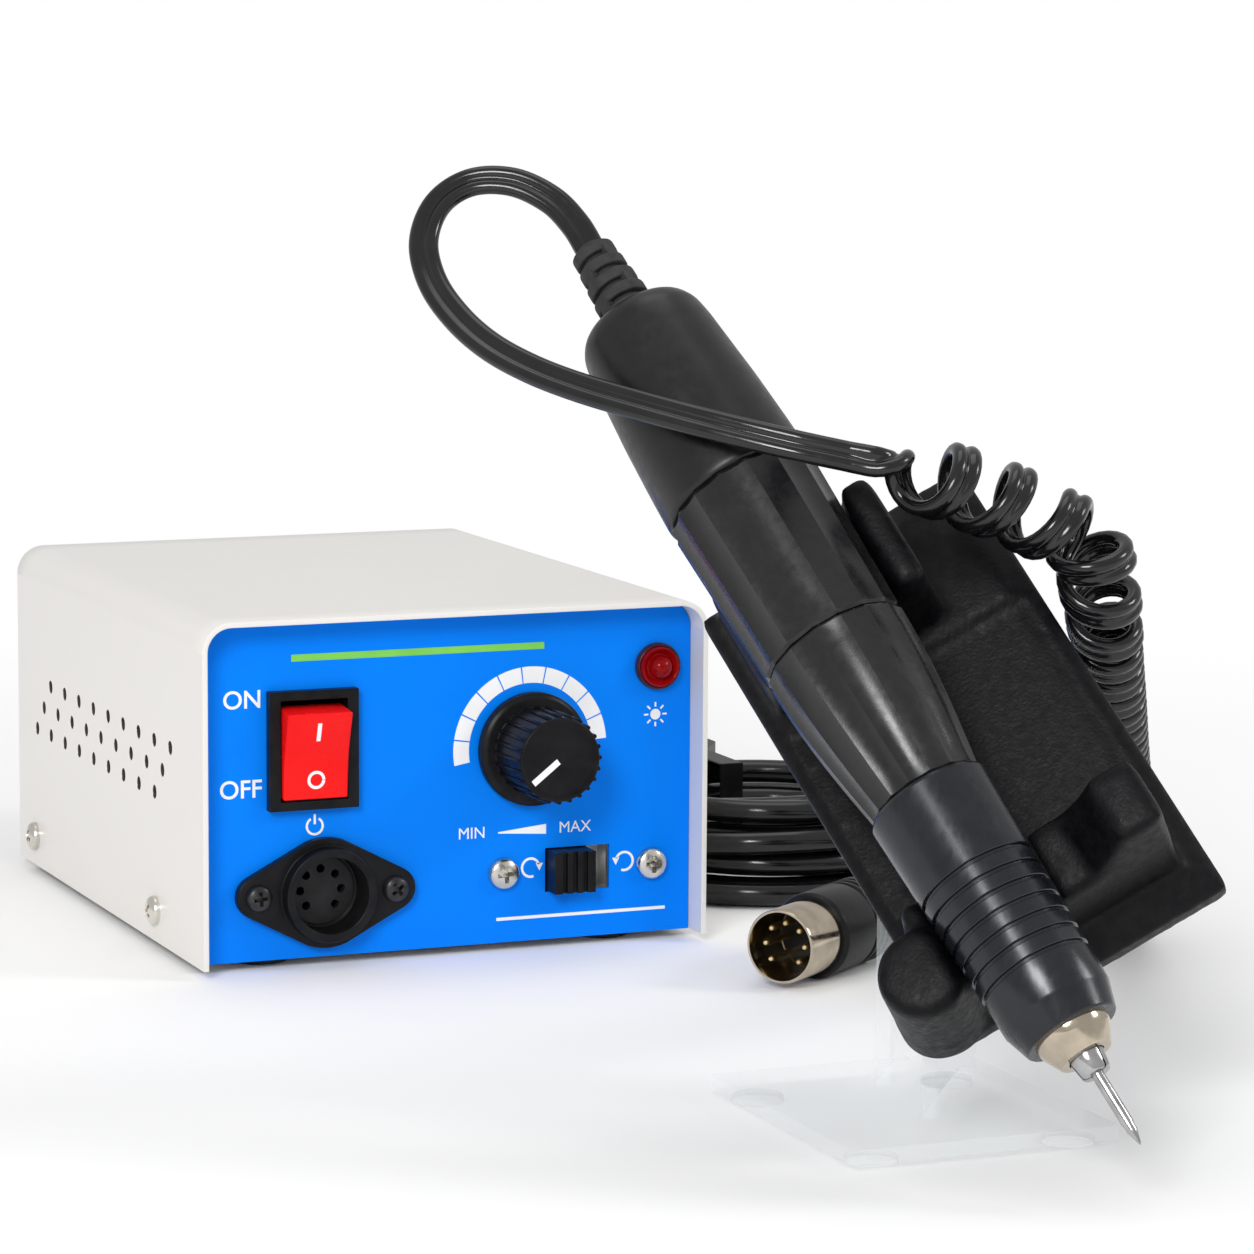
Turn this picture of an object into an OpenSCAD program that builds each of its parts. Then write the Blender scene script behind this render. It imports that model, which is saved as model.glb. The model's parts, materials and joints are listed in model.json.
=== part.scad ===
// Dental lab micromotor: control box, motor handpiece on its stand, motor lead and mains lead.
// Millimetres. The set stands on z = 0, with x to the right of the panel and y away from the viewer.

/* [Case] */
// Outer width of the cover
case_w = 116; // [104:140]
// Height of the cover's sheet metal
case_h = 74.5; // [70:95]
// Depth of the cover
case_d = 145; // [128:180]
// Thickness of cover and chassis sheet
sheet = 1.2; // [0.8:0.1:2]
// Outside radius of the cover's two bends
bend_r = 6.5; // [4:0.5:10]
// Depth of both panels inside the cover's edges
recess = 7; // [5:0.5:10]
// Thickness of the printed front panel
panel_t = 0.8; // [0.5:0.1:1.5]
// Height of the rubber feet
foot_h = 2; // [1:0.5:6]
// Radius of a rubber foot
foot_r = 6.5; // [4:0.5:9]
// Distance of the feet from the case's sides
foot_in = 18; // [12:24]
// Height of the chassis' side flanges
flange_h = 14; // [11:20]
// Height of the cover screws above the cover's edge
screw_z = 7; // [5.5:0.5:9]
// Place of the front cover screws behind the cover's edge
screw_front = 34.4; // [20:50]
// Place of the rear cover screws behind the cover's edge
screw_rear = 130.8; // [110:133]

/* [Vents] */
// Diameter of a vent hole
vent_d = 3; // [2:0.25:4]
// Holes in a row
vent_count = 9; // [5:9]
// Rows of holes
vent_rows = 3; // [1:4]
// Distance between holes in a row
vent_pitch = 11.7; // [9:0.1:12]
// Distance between rows
vent_step = 5.7; // [4.5:0.1:7]
// Place of the first hole behind the cover's edge
vent_front = 23.3; // [16:30]
// Height of the top row above the cover's edge
vent_top = 44.6; // [40:52]

/* [Panel] */
// Rocker switch, in from the case's left side
rocker_in = 26.4; // [23:30]
// Rocker switch, height above the cover's edge
rocker_z = 45.5; // [44:50]
// Width of the rocker
rocker_w = 14.5; // [12:0.5:16]
// Height of the rocker
rocker_h = 19.4; // [17:0.2:20]
// Swing of the rocker from off to on, in degrees
rocker_swing = 22; // [14:26]
// Width of the bezel's rim round the rocker
bezel_rim = 2; // [1.5:0.25:3]
// Speed knob, in from the case's right side
knob_in = 39.2; // [36:43]
// Speed knob, height above the cover's edge
knob_z = 42.8; // [41:48]
// Radius of the knob's skirt
skirt_r = 12.5; // [11:0.5:14]
// Radius of the knob's cap
cap_r = 9.8; // [8.4:0.2:10.6]
// Height of the knob
knob_h = 18; // [14:22]
// Angle of the pointer at its lowest speed, in degrees from the panel's right
pointer_rest = 218; // [200:240]
// Pilot lamp, in from the case's right side
lamp_in = 9.4; // [8:13]
// Pilot lamp, height above the cover's edge
lamp_z = 59.4; // [54:62]
// Radius of the lamp's rim
lamp_r = 5.2; // [4:0.2:6]
// Handpiece socket, in from the case's left side
socket_in = 29.2; // [25:32]
// Handpiece socket, height above the cover's edge
socket_z = 14.2; // [13.5:16]
// Radius of the socket's bore
socket_r = 8.25; // [7:0.05:9]
// Depth of the socket's bore
socket_depth = 8; // [6:10]
// Distance between the socket's screws
socket_pitch = 31; // [30:0.5:34]
// Direction switch, in from the case's right side
slide_in = 28; // [26:30]
// Direction switch, height above the cover's edge
slide_z = 15.4; // [14:18]
// Travel of the direction switch
slide_travel = 5; // [3:0.5:6]
// Width of the switch's button
button_w = 9.6; // [8:0.2:11]
// Height of the switch's button
button_h = 9.2; // [7:0.2:10]
// Distance between the switch's screws
slide_pitch = 35; // [33:0.5:36]

/* [Handpiece] */
// Visible length of the bur
bur_out = 16; // [10:24]
// Radius of the bur's shank
bur_r = 1.175; // [0.8:0.025:1.6]
// Length of the collet in front of the nose
collet_out = 2.5; // [1.5:0.5:5]
// Radius of the collet
collet_r = 2.5; // [2.2:0.1:2.8]
// Length of the nose cap
nose_l = 5; // [4:0.5:8]
// Length of the front sleeve
sleeve_l = 51; // [47:58]
// Radius of the front sleeve at its rear
sleeve_r = 11.8; // [11.4:0.1:12.6]
// Radius of the front sleeve at its chamfer
sleeve_tip_r = 10.5; // [10:0.1:11]
// Grip grooves round the front sleeve
sleeve_grooves = 7; // [3:9]
// Length of the chuck ring
ring_l = 34; // [30:38]
// Radius of the chuck ring at its front
ring_tip_r = 10.9; // [10.6:0.1:11.3]
// Length of the motor housing
housing_l = 35.5; // [33:40]
// Radius of the chuck ring's rear and the housing's front
housing_tip_r = 14.1; // [13.6:0.1:14.6]
// Radius of the housing's rear and the rear cover's front
housing_r = 15; // [14.7:0.1:16]
// Flutes round the housing and the chuck ring
flutes = 16; // [12:18]
// Length of the rear cover
rear_l = 43; // [40:48]
// Radius of the rear cover's back end
rear_r = 12.9; // [12.6:0.1:13.6]
// Length of the cord boot behind the cover
boot_l = 18; // [14:24]
// Radius of the motor can
can_r = 11.6; // [11.2:0.1:11.8]
// Radius of the spindle
spindle_r = 3.2; // [3.1:0.05:3.4]
// Radius of the armature
armature_r = 8; // [7:0.1:8.4]
// Radius of the armature's shaft
shaft_r = 1.5; // [1.2:0.1:2]

/* [Stand] */
// Tilt of the handpiece on its stand, in degrees
tilt = 46; // [42:49]
// Turn of the stand from the case's front, in degrees
yaw = 20; // [14:24]
// Bur tip, right of the case's middle
tip_x = 34.5; // [30:45]
// Bur tip, behind the case's front edge
tip_y = -241; // [-255:-235]
// Bur tip above the table
tip_z = 12.5; // [12.5:0.5:16]
// Lean of the bed to the left about the handpiece's axis, in degrees
lean = 47; // [40:50]
// Bed below the handpiece's axis
bed_drop = 22; // [20:26]
// Thickness of the bed
bed_t = 8; // [6:12]
// Left edge of the bed from the handpiece's axis
bed_left = 18; // [16:22]
// Right edge of the bed from the handpiece's axis
bed_right = 39; // [36:44]
// Front end of the bed from the bur's tip
bed_front = 40; // [37:43]
// Rear end of the bed from the bur's tip
bed_rear = 138; // [133:142]
// Depth of the tray in the bed
tray = 1.2; // [0.6:0.2:2.5]
// Width of the rim round the tray
tray_rim = 3; // [2:0.5:5]
// Thickness of the prop's clear sheet
prop_t = 3; // [2.5:0.5:5]
// Height of the prop's pads
pad_h = 1.2; // [0.8:0.2:2.5]

/* [Leads] */
// Width of one strand of the motor lead
strand = 2.9; // [2.5:0.1:3.1]
// Middle radius of the tight curls
curl_r = 5.25; // [5:0.05:5.6]
// Middle radius of the loose curls
loose_r = 6.4; // [6:0.1:7]
// Distance between tight curls
curl_pitch = 6.6; // [6.4:0.05:6.8]
// Distance between loose curls
loose_pitch = 12; // [11:0.5:14]
// Radius of the motor lead's plug
plug_r = 9.3; // [8.6:0.1:9.8]
// Radius of the plug's metal shell
shell_r = 8; // [7:0.05:8.2]
// Length of the plug's metal shell
shell_l = 13; // [11:15]
// Diameter of the mains lead
mains_d = 5.5; // [5:0.1:5.6]
// Mains gland, in from the case's right side
gland_in = 22; // [18:28]
// Mains gland above the cover's edge
gland_z = 20; // [16:24]
// Outer radius of the mains coil at the lead's middle
coil_r = 35; // [33:36]
// Distance between turns and layers of the mains coil
coil_step = 6.1; // [6:0.05:6.3]

/* [Clearances] */
// Between sheet-metal parts
fit = 0.15; // [0.1:0.05:0.3]
// Round a shaft that turns
run = 0.05; // [0.02:0.01:0.1]
// Between moving parts that don't bear
play = 0.3; // [0.2:0.05:0.5]

/* [Hidden] */
$fn = 48;
e = 0.5;

// the case
edge_z = foot_h;
in_w = case_w - 2 * sheet;
in_h = case_h - sheet;
panel_y = recess;
rocker_x = rocker_in - case_w / 2;
knob_x = case_w / 2 - knob_in;
lamp_x = case_w / 2 - lamp_in;
socket_x = socket_in - case_w / 2;
slide_x = case_w / 2 - slide_in;
gland_x = case_w / 2 - gland_in;
wall_y = panel_y + panel_t;
back_y = case_d - recess;
floor_z = edge_z + sheet;
behind = panel_t + sheet;
head_r = 3.3;
head_h = 2.2;
shank_r = 1.5;

// the rocker switch
rocker_front = 5.6;
bezel_t = 2.5;
rocker_hinge = 3;
rocker_corner = norm([rocker_front, rocker_h / 2]);
rocker_corner_a = atan2(rocker_front, rocker_h / 2);
rocker_open_h = 2 * (rocker_corner * cos(rocker_corner_a - rocker_swing / 2) + play);
rocker_open_w = rocker_w + 2 * play;
switch_wall = 1.7;
switch_w = rocker_open_w + 2 * switch_wall;
switch_h = rocker_open_h + 2;
switch_depth = 14;
trunnion_r = 1.2;

// the speed control
pot_r = 8.5;
pot_l = 9;
pot_shaft_r = 3;
nut_r = 5.4;
nut_h = 2.2;
bushing_r = 4.5;

// the socket
collar_r = socket_r + 1.95;
collar_h = 6;
flange_t = 2.5;
insert_r = socket_r - 0.7;
socket_back = 12;

// the direction switch
window_w = button_w + slide_travel + 2 * play;
window_h = button_h + 2 * play;
slide_deep = 8;

// the handpiece, measured from the bur's tip along its axis
gap = 0.3;
s_collet = bur_out;
s_nose = s_collet + collet_out;
s_sleeve = s_nose + nose_l;
s_ring = s_sleeve + sleeve_l + gap;
s_housing = s_ring + ring_l + gap;
s_rear = s_housing + housing_l;
s_boot = s_rear + rear_l;
s_end = s_boot + boot_l;
nose_r = 7.2;
core_r = 8.9;
sleeve_bore = 8;
front_wall = 3.2;
bearing_r = 6.4;
bearing_l = 5;
can_wall = 0.9;
chamfer_l = 5;
core_front = s_ring - 22;
core_back = s_housing + front_wall;
can_front = core_back;
can_l = s_rear + 22 - can_front;
arm_front = can_front + 3;
arm_l = housing_l - 8;
comm_front = s_rear + 4;
comm_l = 9;
bear_1 = s_sleeve + 8;
bear_2 = core_front + 2;
bear_3 = core_back - bearing_l - 1;
bear_4 = can_front + can_l - bearing_l;
spindle_back = bear_3 + bearing_l + 0.6;
shaft_back = bear_4 + bearing_l - 0.5;
boot_r = 5.6;
bed_w = bed_left + bed_right;
function sleeve_at(s) = sleeve_tip_r + (sleeve_r - sleeve_tip_r) * (s - s_sleeve - chamfer_l)
  / (sleeve_l - chamfer_l);
function housing_at(s) = housing_tip_r + (housing_r - housing_tip_r) * (s - s_housing) / housing_l;
function ring_at(t) = ring_tip_r + (housing_tip_r - ring_tip_r) * sin(90 * t);

// the stand's frame: right of the axis, up from the bed, along the axis from the tip
axis_right = [cos(yaw), sin(yaw), 0];
axis_up = [sin(yaw) * sin(tilt), -cos(yaw) * sin(tilt), cos(tilt)];
axis_back = [-sin(yaw) * cos(tilt), cos(yaw) * cos(tilt), sin(tilt)];
bed_across = cos(lean) * axis_right + sin(lean) * axis_up;
bed_up = cos(lean) * axis_up - sin(lean) * axis_right;
tip = [tip_x, tip_y, tip_z];
// a point across the bed from the axis, above the axis, and along it from the tip
function rest(x, n, s) = tip + x * bed_across + n * bed_up + s * axis_back;

// the middle of the set's footprint, without the leads
x_low = -case_w / 2 - head_h;
x_high = max(case_w / 2 + head_h, rest(bed_right, -bed_drop - bed_t, bed_front)[0]);
set_mid = [(x_low + x_high) / 2, (tip_y + case_d) / 2, 0];

// points of a plate with its two upper corners rounded, from its lower edge up
function arch(w, h, r) = concat([[-w / 2, 0], [w / 2, 0]],
  [for (i = [0:8]) [w / 2 - r + r * cos(i * 11.25), h - r + r * sin(i * 11.25)]],
  [for (i = [0:8]) [-w / 2 + r - r * sin(i * 11.25), h - r + r * cos(i * 11.25)]]);

// tubes: rings of points round a path, with a side vector for each ring
function unit(v) = v / norm(v);
function tangents(p) = [for (i = [0:len(p) - 1]) unit(p[min(i + 1, len(p) - 1)] - p[max(i - 1, 0)])];
function square_to(v, t) = unit(v - (v * t) * t);
function smooth(p, n) = concat([for (i = [0:len(p) - 2]) for (j = [0:n - 1]) curve(p[max(i - 1, 0)], p[i],
  p[i + 1], p[min(i + 2, len(p) - 1)], j / n)], [p[len(p) - 1]]);
function curve(a, b, c, d, t) = b + t * (c - a) / 2 + t * t * (a - 2.5 * b + 2 * c - d / 2)
  + t * t * t * (1.5 * (b - c) + (d - a) / 2);
function along(p) = [for (i = 0, s = 0; i < len(p);
  s = s + (i + 1 < len(p) ? norm(p[i + 1] - p[i]) : 0), i = i + 1) s];
function column(p, s, k) = [for (i = [0:len(p) - 1]) [s[i], p[i][k]]];
// least distance between points that lie further apart than a given length along the path
function least(p, apart) = let (s = along(p)) min([for (i = [0:len(p) - 2]) for (j = [i + 1:len(p) - 1])
  if (s[j] - s[i] > apart) norm(p[i] - p[j])]);

// inside the case and on its back
bezel_lap = 0.8;
switch_back = 2.5;
trunnion_l = 1.2;
skirt_t = 3.6;
knob_ribs = 24;
bushing_h = 3.4;
pointer_t = 0.4;
lamp_l = 12;
dome_h = 3;
button_out = 5.5;
core_leg = 9;
core_x = -6;
core_y = 86;
board_in = 6;
board_x = board_in - case_w / 2;
board_y = 30;
board_w = 62;
board_d = 40;
post_h = 6;
board_t = 1.6;
smoother_r = 7;
smoother_h = 22;
relay_w = 17;
relay_d = 12;
relay_h = 14;
sink_w = 22;
sink_h = 20;
fuse_in = 28;
fuse_x = fuse_in - case_w / 2;
fuse_z = 26;
fuse_r = 5.5;
gland_r = 4.6;
gland_l = 22;
boot_ribs = 5;
boot_fall = 1.4;
groove_front = s_sleeve + 12;
groove_step = 3.4;
comm_r = 4.5;
collet_deep = 15;

// the stand's saddles, along the handpiece's axis from the tip
saddle_1 = s_sleeve + 23;
saddle_1_l = 15;
saddle_2 = s_housing + 2.5;
saddle_left = 2.5;
saddle_right = 5.2;
ear_w = 15;
ear_in = 5;
ear_low = 4;
ear_high = 6;
rear_ear = housing_r + 6.5;
lobe_r = 8.5;
rear_left = 14.6;
rear_left_low = 8;
// the prop: its base on the table, and two gussets up the bed's slope to its underside
base_left = -34;
base_right = 20;
base_front = 44;
base_rear = 108;
slope = unit([-bed_up[0], -bed_up[1], 0]);
slope_a = atan2(slope[1], slope[0]);
gusset_1 = [-11, 60];
gusset_1_l = 44;
gusset_2 = [-7, 88];
gusset_2_l = 22;
pad_r = 5;

// the motor lead: from the boot round to the left, back over the rear cover, across the bed's right
// edge and down behind the bed to the table, then round to its plug
lead_points = [for (p = [[0, 0, 0], [0, 0, 6], [-1.5, 0.5, 13], [-6, 1.5, 20], [-13, 2.5, 24],
  [-20.5, 3.5, 23], [-26.5, 4.5, 17], [-29, 5.5, 8], [-28.5, 7, -2], [-26, 9, -12], [-21.5, 11.5, -22],
  [-15.5, 14.2, -32], [-8.5, 17, -42], [-1.5, 18.6, -51], [5.5, 18.8, -59], [12.3, 18, -66],
  [19.3, 15.6, -72]]) rest(p[0], p[1], s_end + p[2])];
lead_last = lead_points[len(lead_points) - 1];
lead_dir = unit(lead_last - lead_points[len(lead_points) - 2]);
spine_points = concat([lead_last + (play + 0.1) * lead_dir, lead_last + 7 * lead_dir,
  rest(29.5, 6.5, 126.5), rest(36, -0.5, 122.8), rest(42, -7.5, 118.2), rest(47, -13.5, 113),
  rest(50.5, -18, 107.5)], [[68, -162, 93], [78, -147, 77.5],
  [88.5, -130, 62.5], [99, -113, 49], [109.5, -95, 37], [120.5, -76, 26], [131, -57, 17], [140, -39, 10.5],
  [147, -24, 7.6], [151, -10, 6.9]]);
loose_end = 60;
curl_ramp = 18;
open_pitch = 24;
curl_straight = 3;
spine = smooth(spine_points, 6);
spine_s = along(spine);
spine_l = spine_s[len(spine_s) - 1];
spine_x = column(spine, spine_s, 0);
spine_y = column(spine, spine_s, 1);
spine_z = column(spine, spine_s, 2);
function spine_at(s) = [lookup(s, spine_x), lookup(s, spine_y), lookup(s, spine_z)];
function spine_dir(s) = unit(spine_at(min(s + 2, spine_l)) - spine_at(max(s - 2, 0)));
function ease(t) = let (c = min(max(t, 0), 1)) c * c * (3 - 2 * c);
function tight(s) = ease((s - loose_end) / 30);
function wound(s) = ease((s - curl_straight) / curl_ramp) * ease((spine_l - curl_straight - s) / curl_ramp);
function pitch_at(s) = open_pitch + (loose_pitch + (curl_pitch - loose_pitch) * tight(s) - open_pitch)
  * wound(s);
function curl_at(s) = (loose_r + (curl_r - loose_r) * tight(s)) * wound(s);
curl_rings = concat([[0, 0]], [for (s = curl_straight, a = 0; s < spine_l - curl_straight;
  s = s + pitch_at(s) / 8, a = a + 45) [s, a]]);
curl_last = curl_rings[len(curl_rings) - 1][1];
curl_all = concat(curl_rings, [[spine_l, curl_last]]);
curl_path = [for (q = curl_all) let (t = spine_dir(q[0]), n = unit(cross(t, [0, 0, 1])), b = cross(n, t))
  spine_at(q[0]) + curl_at(q[0]) * (cos(q[1]) * n + sin(q[1]) * b)];
curl_sides = [for (q = curl_all) let (t = spine_dir(q[0]), n = unit(cross(t, [0, 0, 1])), b = cross(n, t),
  a = atan2(2 * PI * curl_at(q[0]), pitch_at(q[0]))) sin(a) * t - cos(a) * (cos(q[1]) * b - sin(q[1]) * n)];
plug_boot_l = 20;
plug_front = 44;
plug_at = [98, -17, plug_r];
plug_turn = -53;
plug_dir = [sin(plug_turn), -cos(plug_turn), 0];
tail_points = [spine_points[len(spine_points) - 1] + [0, play, 0], [152, -2, 6.2], [152, 6, 4.2],
  [149, 14, 2.4], [142, 19.5, 1.8], [133, 19.5, 1.7], [124.5, 14, 1.7], [118, 6, 2.4], [112.5, -2, 4.6],
  [107.3, -8.6, 7.4], plug_at - 6 * plug_dir, plug_at - play * plug_dir];

// the mains lead: out of the gland, down to the table and round to the coil on the case's right
coil_out_from = 42;
coil_x = case_w / 2 + coil_out_from;
coil_y = 62;
coil_z = mains_d / 2 + 0.6;
coil_turns = 7.5;
function coil_point(u) = let (k = floor(u / 2), w = u - 2 * k,
  r = k % 2 == 0 ? coil_r - coil_step * w : coil_r - 2 * coil_step + coil_step * w, a = 180 + 360 * u)
  [coil_x + r * cos(a), coil_y + r * sin(a), coil_z + coil_step
    * (ease(2 * (u - 1.75)) + ease(2 * (u - 3.75)) + ease(2 * (u - 5.75)))];
coil_wound = [for (i = [0:24 * coil_turns]) coil_point(i / 24)];
coil_end = coil_wound[len(coil_wound) - 1];
coil_dir = unit(coil_end - coil_wound[len(coil_wound) - 2]);
coil_out = coil_end + mains_d * 1.1 * coil_dir;
coil_in = coil_wound[0] + [0, mains_d * 1.1, 0];
coil_path = concat([coil_in], coil_wound, [coil_out]);
// routes in mm from the case's right side, its front edge and the table
function beside(p) = [for (q = p) [case_w / 2 + q[0], q[1], q[2]]];
mains_points = concat([[gland_x, back_y + gland_l, edge_z + gland_z],
  [gland_x, back_y + gland_l + 8, edge_z + gland_z]],
  beside([[-22, 178, 20.5], [-21, 190, 15.5], [-17, 203, 9], [-8, 214, 5], [5, 219, 3.5], [18, 214, 3.4],
  [26, 203, 3.4], [28, 188, 3.4], [25, 170, 3.4], [19, 150, 3.4], [13, 128, 3.4], [8.5, 106, 3.4],
  [7, 88, 3.4], [7, 76, 3.4]]), [coil_in + [0, play, 0]]);
mains_tail_points = concat([coil_out + play * coil_dir], beside([[74.6, 77, 21.6], [74.6, 87, 20.4],
  [73.5, 98, 17], [71.5, 109, 12.8], [69, 120, 9.3], [66.5, 131, 7.4], [64.8, 142, 7], [64.5, 152, 7]]));
mains_plug_at = mains_tail_points[len(mains_tail_points) - 1];

module tube(path, sides, a, b, n) {
  t = tangents(path);
  rings = len(path);
  points = [for (i = [0:rings - 1]) for (k = [0:n - 1])
    let (u = square_to(sides[i], t[i]))
    path[i] + a * cos((k + 0.5) * 360 / n) * u + b * sin((k + 0.5) * 360 / n) * cross(t[i], u)];
  faces = concat(
    [for (i = [0:rings - 2]) for (k = [0:n - 1]) [i * n + k, (i + 1) * n + k, i * n + (k + 1) % n]],
    [for (i = [0:rings - 2]) for (k = [0:n - 1])
      [i * n + (k + 1) % n, (i + 1) * n + k, (i + 1) * n + (k + 1) % n]],
    [for (k = [1:n - 2]) [0, k, k + 1]],
    [for (k = [1:n - 2]) [(rings - 1) * n, (rings - 1) * n + k + 1, (rings - 1) * n + k]]);
  polyhedron(points, faces);
}

// screws point along z, with the underside of the head at zero
module pan_screw(r, h, shank, length) {
  difference() {
    union() {
      rotate_extrude() polygon([[0, 0], [r, 0], [r, h * 0.4], [r * 0.86, h * 0.75], [r * 0.5, h], [0, h]]);
      translate([0, 0, -length]) cylinder(h = length + h / 4, r = shank);
    }
    for (a = [0, 90]) rotate(a) translate([-r * 0.62, -r * 0.12, h * 0.4]) cube([r * 1.24, r * 0.24, h]);
  }
}

// things on the panel face the viewer: local z comes out of the panel's front face
module on_panel(x, z) translate([x, panel_y, edge_z + z]) rotate([90, 0, 0]) children();

module panel_cuts() {
  on_panel(rocker_x, rocker_z) translate([-switch_w / 2 - fit, -switch_h / 2 - fit, -behind - e])
    cube([switch_w + 2 * fit, switch_h + 2 * fit, behind + 2 * e]);
  on_panel(knob_x, knob_z) translate([0, 0, -behind - e]) cylinder(h = behind + 2 * e, r = bushing_r + fit);
  on_panel(lamp_x, lamp_z) translate([0, 0, -behind - e]) cylinder(h = behind + 2 * e,
    r = lamp_r - 1 + fit);
  on_panel(socket_x, socket_z) {
    translate([0, 0, -behind - e]) cylinder(h = behind + 2 * e, r = collar_r + fit);
    for (m = [-1, 1]) translate([m * socket_pitch / 2, 0, -behind - e]) cylinder(h = behind + 2 * e,
      r = shank_r + fit);
  }
  on_panel(slide_x, slide_z) {
    translate([-window_w / 2, -window_h / 2, -behind - e]) cube([window_w, window_h, behind + 2 * e]);
    for (m = [-1, 1]) translate([m * slide_pitch / 2, 0, -behind - e]) cylinder(h = behind + 2 * e,
      r = shank_r + fit);
  }
}

module at_cover_screws() for (m = [-1, 1]) for (y = [screw_front, screw_rear])
  translate([m * case_w / 2, y, edge_z + screw_z]) rotate([0, m * 90, 0]) children();

// Control box

module cover() color([0.93, 0.92, 0.88]) difference() {
  translate([0, case_d, edge_z]) rotate([90, 0, 0]) linear_extrude(case_d)
    polygon(arch(case_w, case_h, bend_r));
  translate([0, case_d + e, edge_z - e]) rotate([90, 0, 0]) linear_extrude(case_d + 2 * e)
    polygon(arch(in_w, in_h + e, bend_r - sheet));
  for (k = [0:vent_rows - 1]) for (i = [0:vent_count - 1])
    translate([-case_w / 2 - e, vent_front + k * vent_pitch / 2 + i * vent_pitch, edge_z + vent_top - k
      * vent_step])
      rotate([0, 90, 0]) cylinder(h = case_w + 2 * e, d = vent_d);
  at_cover_screws() translate([0, 0, -sheet - e]) cylinder(h = sheet + 2 * e, r = shank_r + fit);
}

module chassis() color([0.72, 0.73, 0.75]) difference() {
  union() {
    translate([-in_w / 2 + fit, wall_y, edge_z]) cube([in_w - 2 * fit, back_y - wall_y, sheet]);
    for (y = [wall_y + sheet, back_y]) translate([0, y, edge_z]) rotate([90, 0, 0]) linear_extrude(sheet)
      polygon(arch(in_w - 2 * fit, in_h - fit, bend_r - sheet));
    for (m = [-1, 1]) translate([m * (in_w / 2 - fit - sheet / 2) - sheet / 2, wall_y, edge_z])
      cube([sheet, back_y - wall_y, flange_h]);
    at_board_posts() translate([0, 0, -sheet / 2]) cylinder(h = post_h + sheet / 2, r = 2.5);
  }
  panel_cuts();
  at_cover_screws() translate([0, 0, -2 * sheet - fit - e]) cylinder(h = 2 * sheet + 2 * fit + e,
    r = shank_r + fit);
  translate([gland_x, back_y - sheet - e, edge_z + gland_z]) rotate([-90, 0, 0])
    cylinder(h = sheet + 2 * e, r = gland_r + fit);
  translate([fuse_x, back_y - sheet - e, edge_z + fuse_z]) rotate([-90, 0, 0])
    cylinder(h = sheet + 2 * e, r = fuse_r + fit);
}

module front_panel() color([0.05, 0.42, 0.9]) difference() {
  translate([0, wall_y, edge_z]) rotate([90, 0, 0]) linear_extrude(panel_t)
    polygon(arch(in_w - 2 * fit, in_h - fit, bend_r - sheet));
  panel_cuts();
}

module cover_screws() color([0.75, 0.74, 0.7]) at_cover_screws()
  pan_screw(head_r, head_h, shank_r, 2 * sheet + fit + 3);

module feet() color([0.06, 0.06, 0.06]) for (m = [-1, 1]) for (y = [foot_in, case_d - foot_in])
  translate([m * (case_w / 2 - foot_in), y, 0]) rotate_extrude()
    polygon([[0, 0], [foot_r - foot_h / 4, 0], [foot_r, foot_h / 4], [foot_r, foot_h], [0, foot_h]]);

module rocker_frame() color([0.05, 0.05, 0.055]) on_panel(rocker_x, rocker_z) difference() {
  union() {
    translate([-switch_w / 2 - bezel_lap, -rocker_open_h / 2 - bezel_rim, 0])
      cube([switch_w + 2 * bezel_lap, rocker_open_h + 2 * bezel_rim, bezel_t]);
    translate([-switch_w / 2, -switch_h / 2, -switch_depth]) cube([switch_w, switch_h,
      switch_depth + bezel_t / 2]);
  }
  translate([-rocker_open_w / 2, -rocker_open_h / 2, switch_back - switch_depth])
    cube([rocker_open_w, rocker_open_h, switch_depth + bezel_t]);
  translate([-rocker_open_w / 2 - trunnion_l - play, 0, bezel_t - rocker_hinge]) rotate([0, 90, 0])
    cylinder(h = rocker_open_w + 2 * trunnion_l + 2 * play, r = trunnion_r + run);
}

module rocker() color([0.85, 0.04, 0.03]) on_panel(rocker_x, rocker_z)
  translate([0, 0, bezel_t - rocker_hinge]) rotate([rocker_swing / 2, 0, 0]) {
    translate([-rocker_w / 2, 0, 0]) rotate([90, 0, 90]) linear_extrude(rocker_w)
      polygon([[rocker_h / 2, rocker_front], [0, rocker_front - 1], [-rocker_h / 2, rocker_front],
        [-rocker_h / 2 + 0.7, -rocker_front / 2], [rocker_h / 2 - 0.7, -rocker_front / 2]]);
    translate([-rocker_open_w / 2 - trunnion_l, 0, 0]) rotate([0, 90, 0])
      cylinder(h = rocker_open_w + 2 * trunnion_l, r = trunnion_r);
  }

module speed_knob() color([0.05, 0.05, 0.055]) on_panel(knob_x, knob_z) difference() {
  rotate_extrude() polygon([[0, 2 * play], [skirt_r, 2 * play], [skirt_r, skirt_t - 0.8],
    [skirt_r - 0.9, skirt_t], [cap_r, skirt_t], [cap_r, knob_h - 0.8], [cap_r - 0.8, knob_h], [0, knob_h]]);
  for (i = [0:knob_ribs - 1]) rotate(i * 360 / knob_ribs) translate([cap_r + 0.45, 0, skirt_t + 0.5])
    cylinder(h = knob_h, r = 0.8);
  translate([0, 0, -e]) cylinder(h = knob_h - 4 + e, r = pot_shaft_r + 0.02);
  translate([0, 0, -e]) cylinder(h = bushing_h + play + e, r = nut_r + 1);
  pointer_bar();
}

module pointer_bar() rotate(pointer_rest) translate([0.6, -0.6, knob_h - pointer_t])
  cube([cap_r - 1.8, 1.2, pointer_t + 0.05]);

module knob_pointer() color([0.95, 0.95, 0.95]) on_panel(knob_x, knob_z) pointer_bar();

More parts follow.
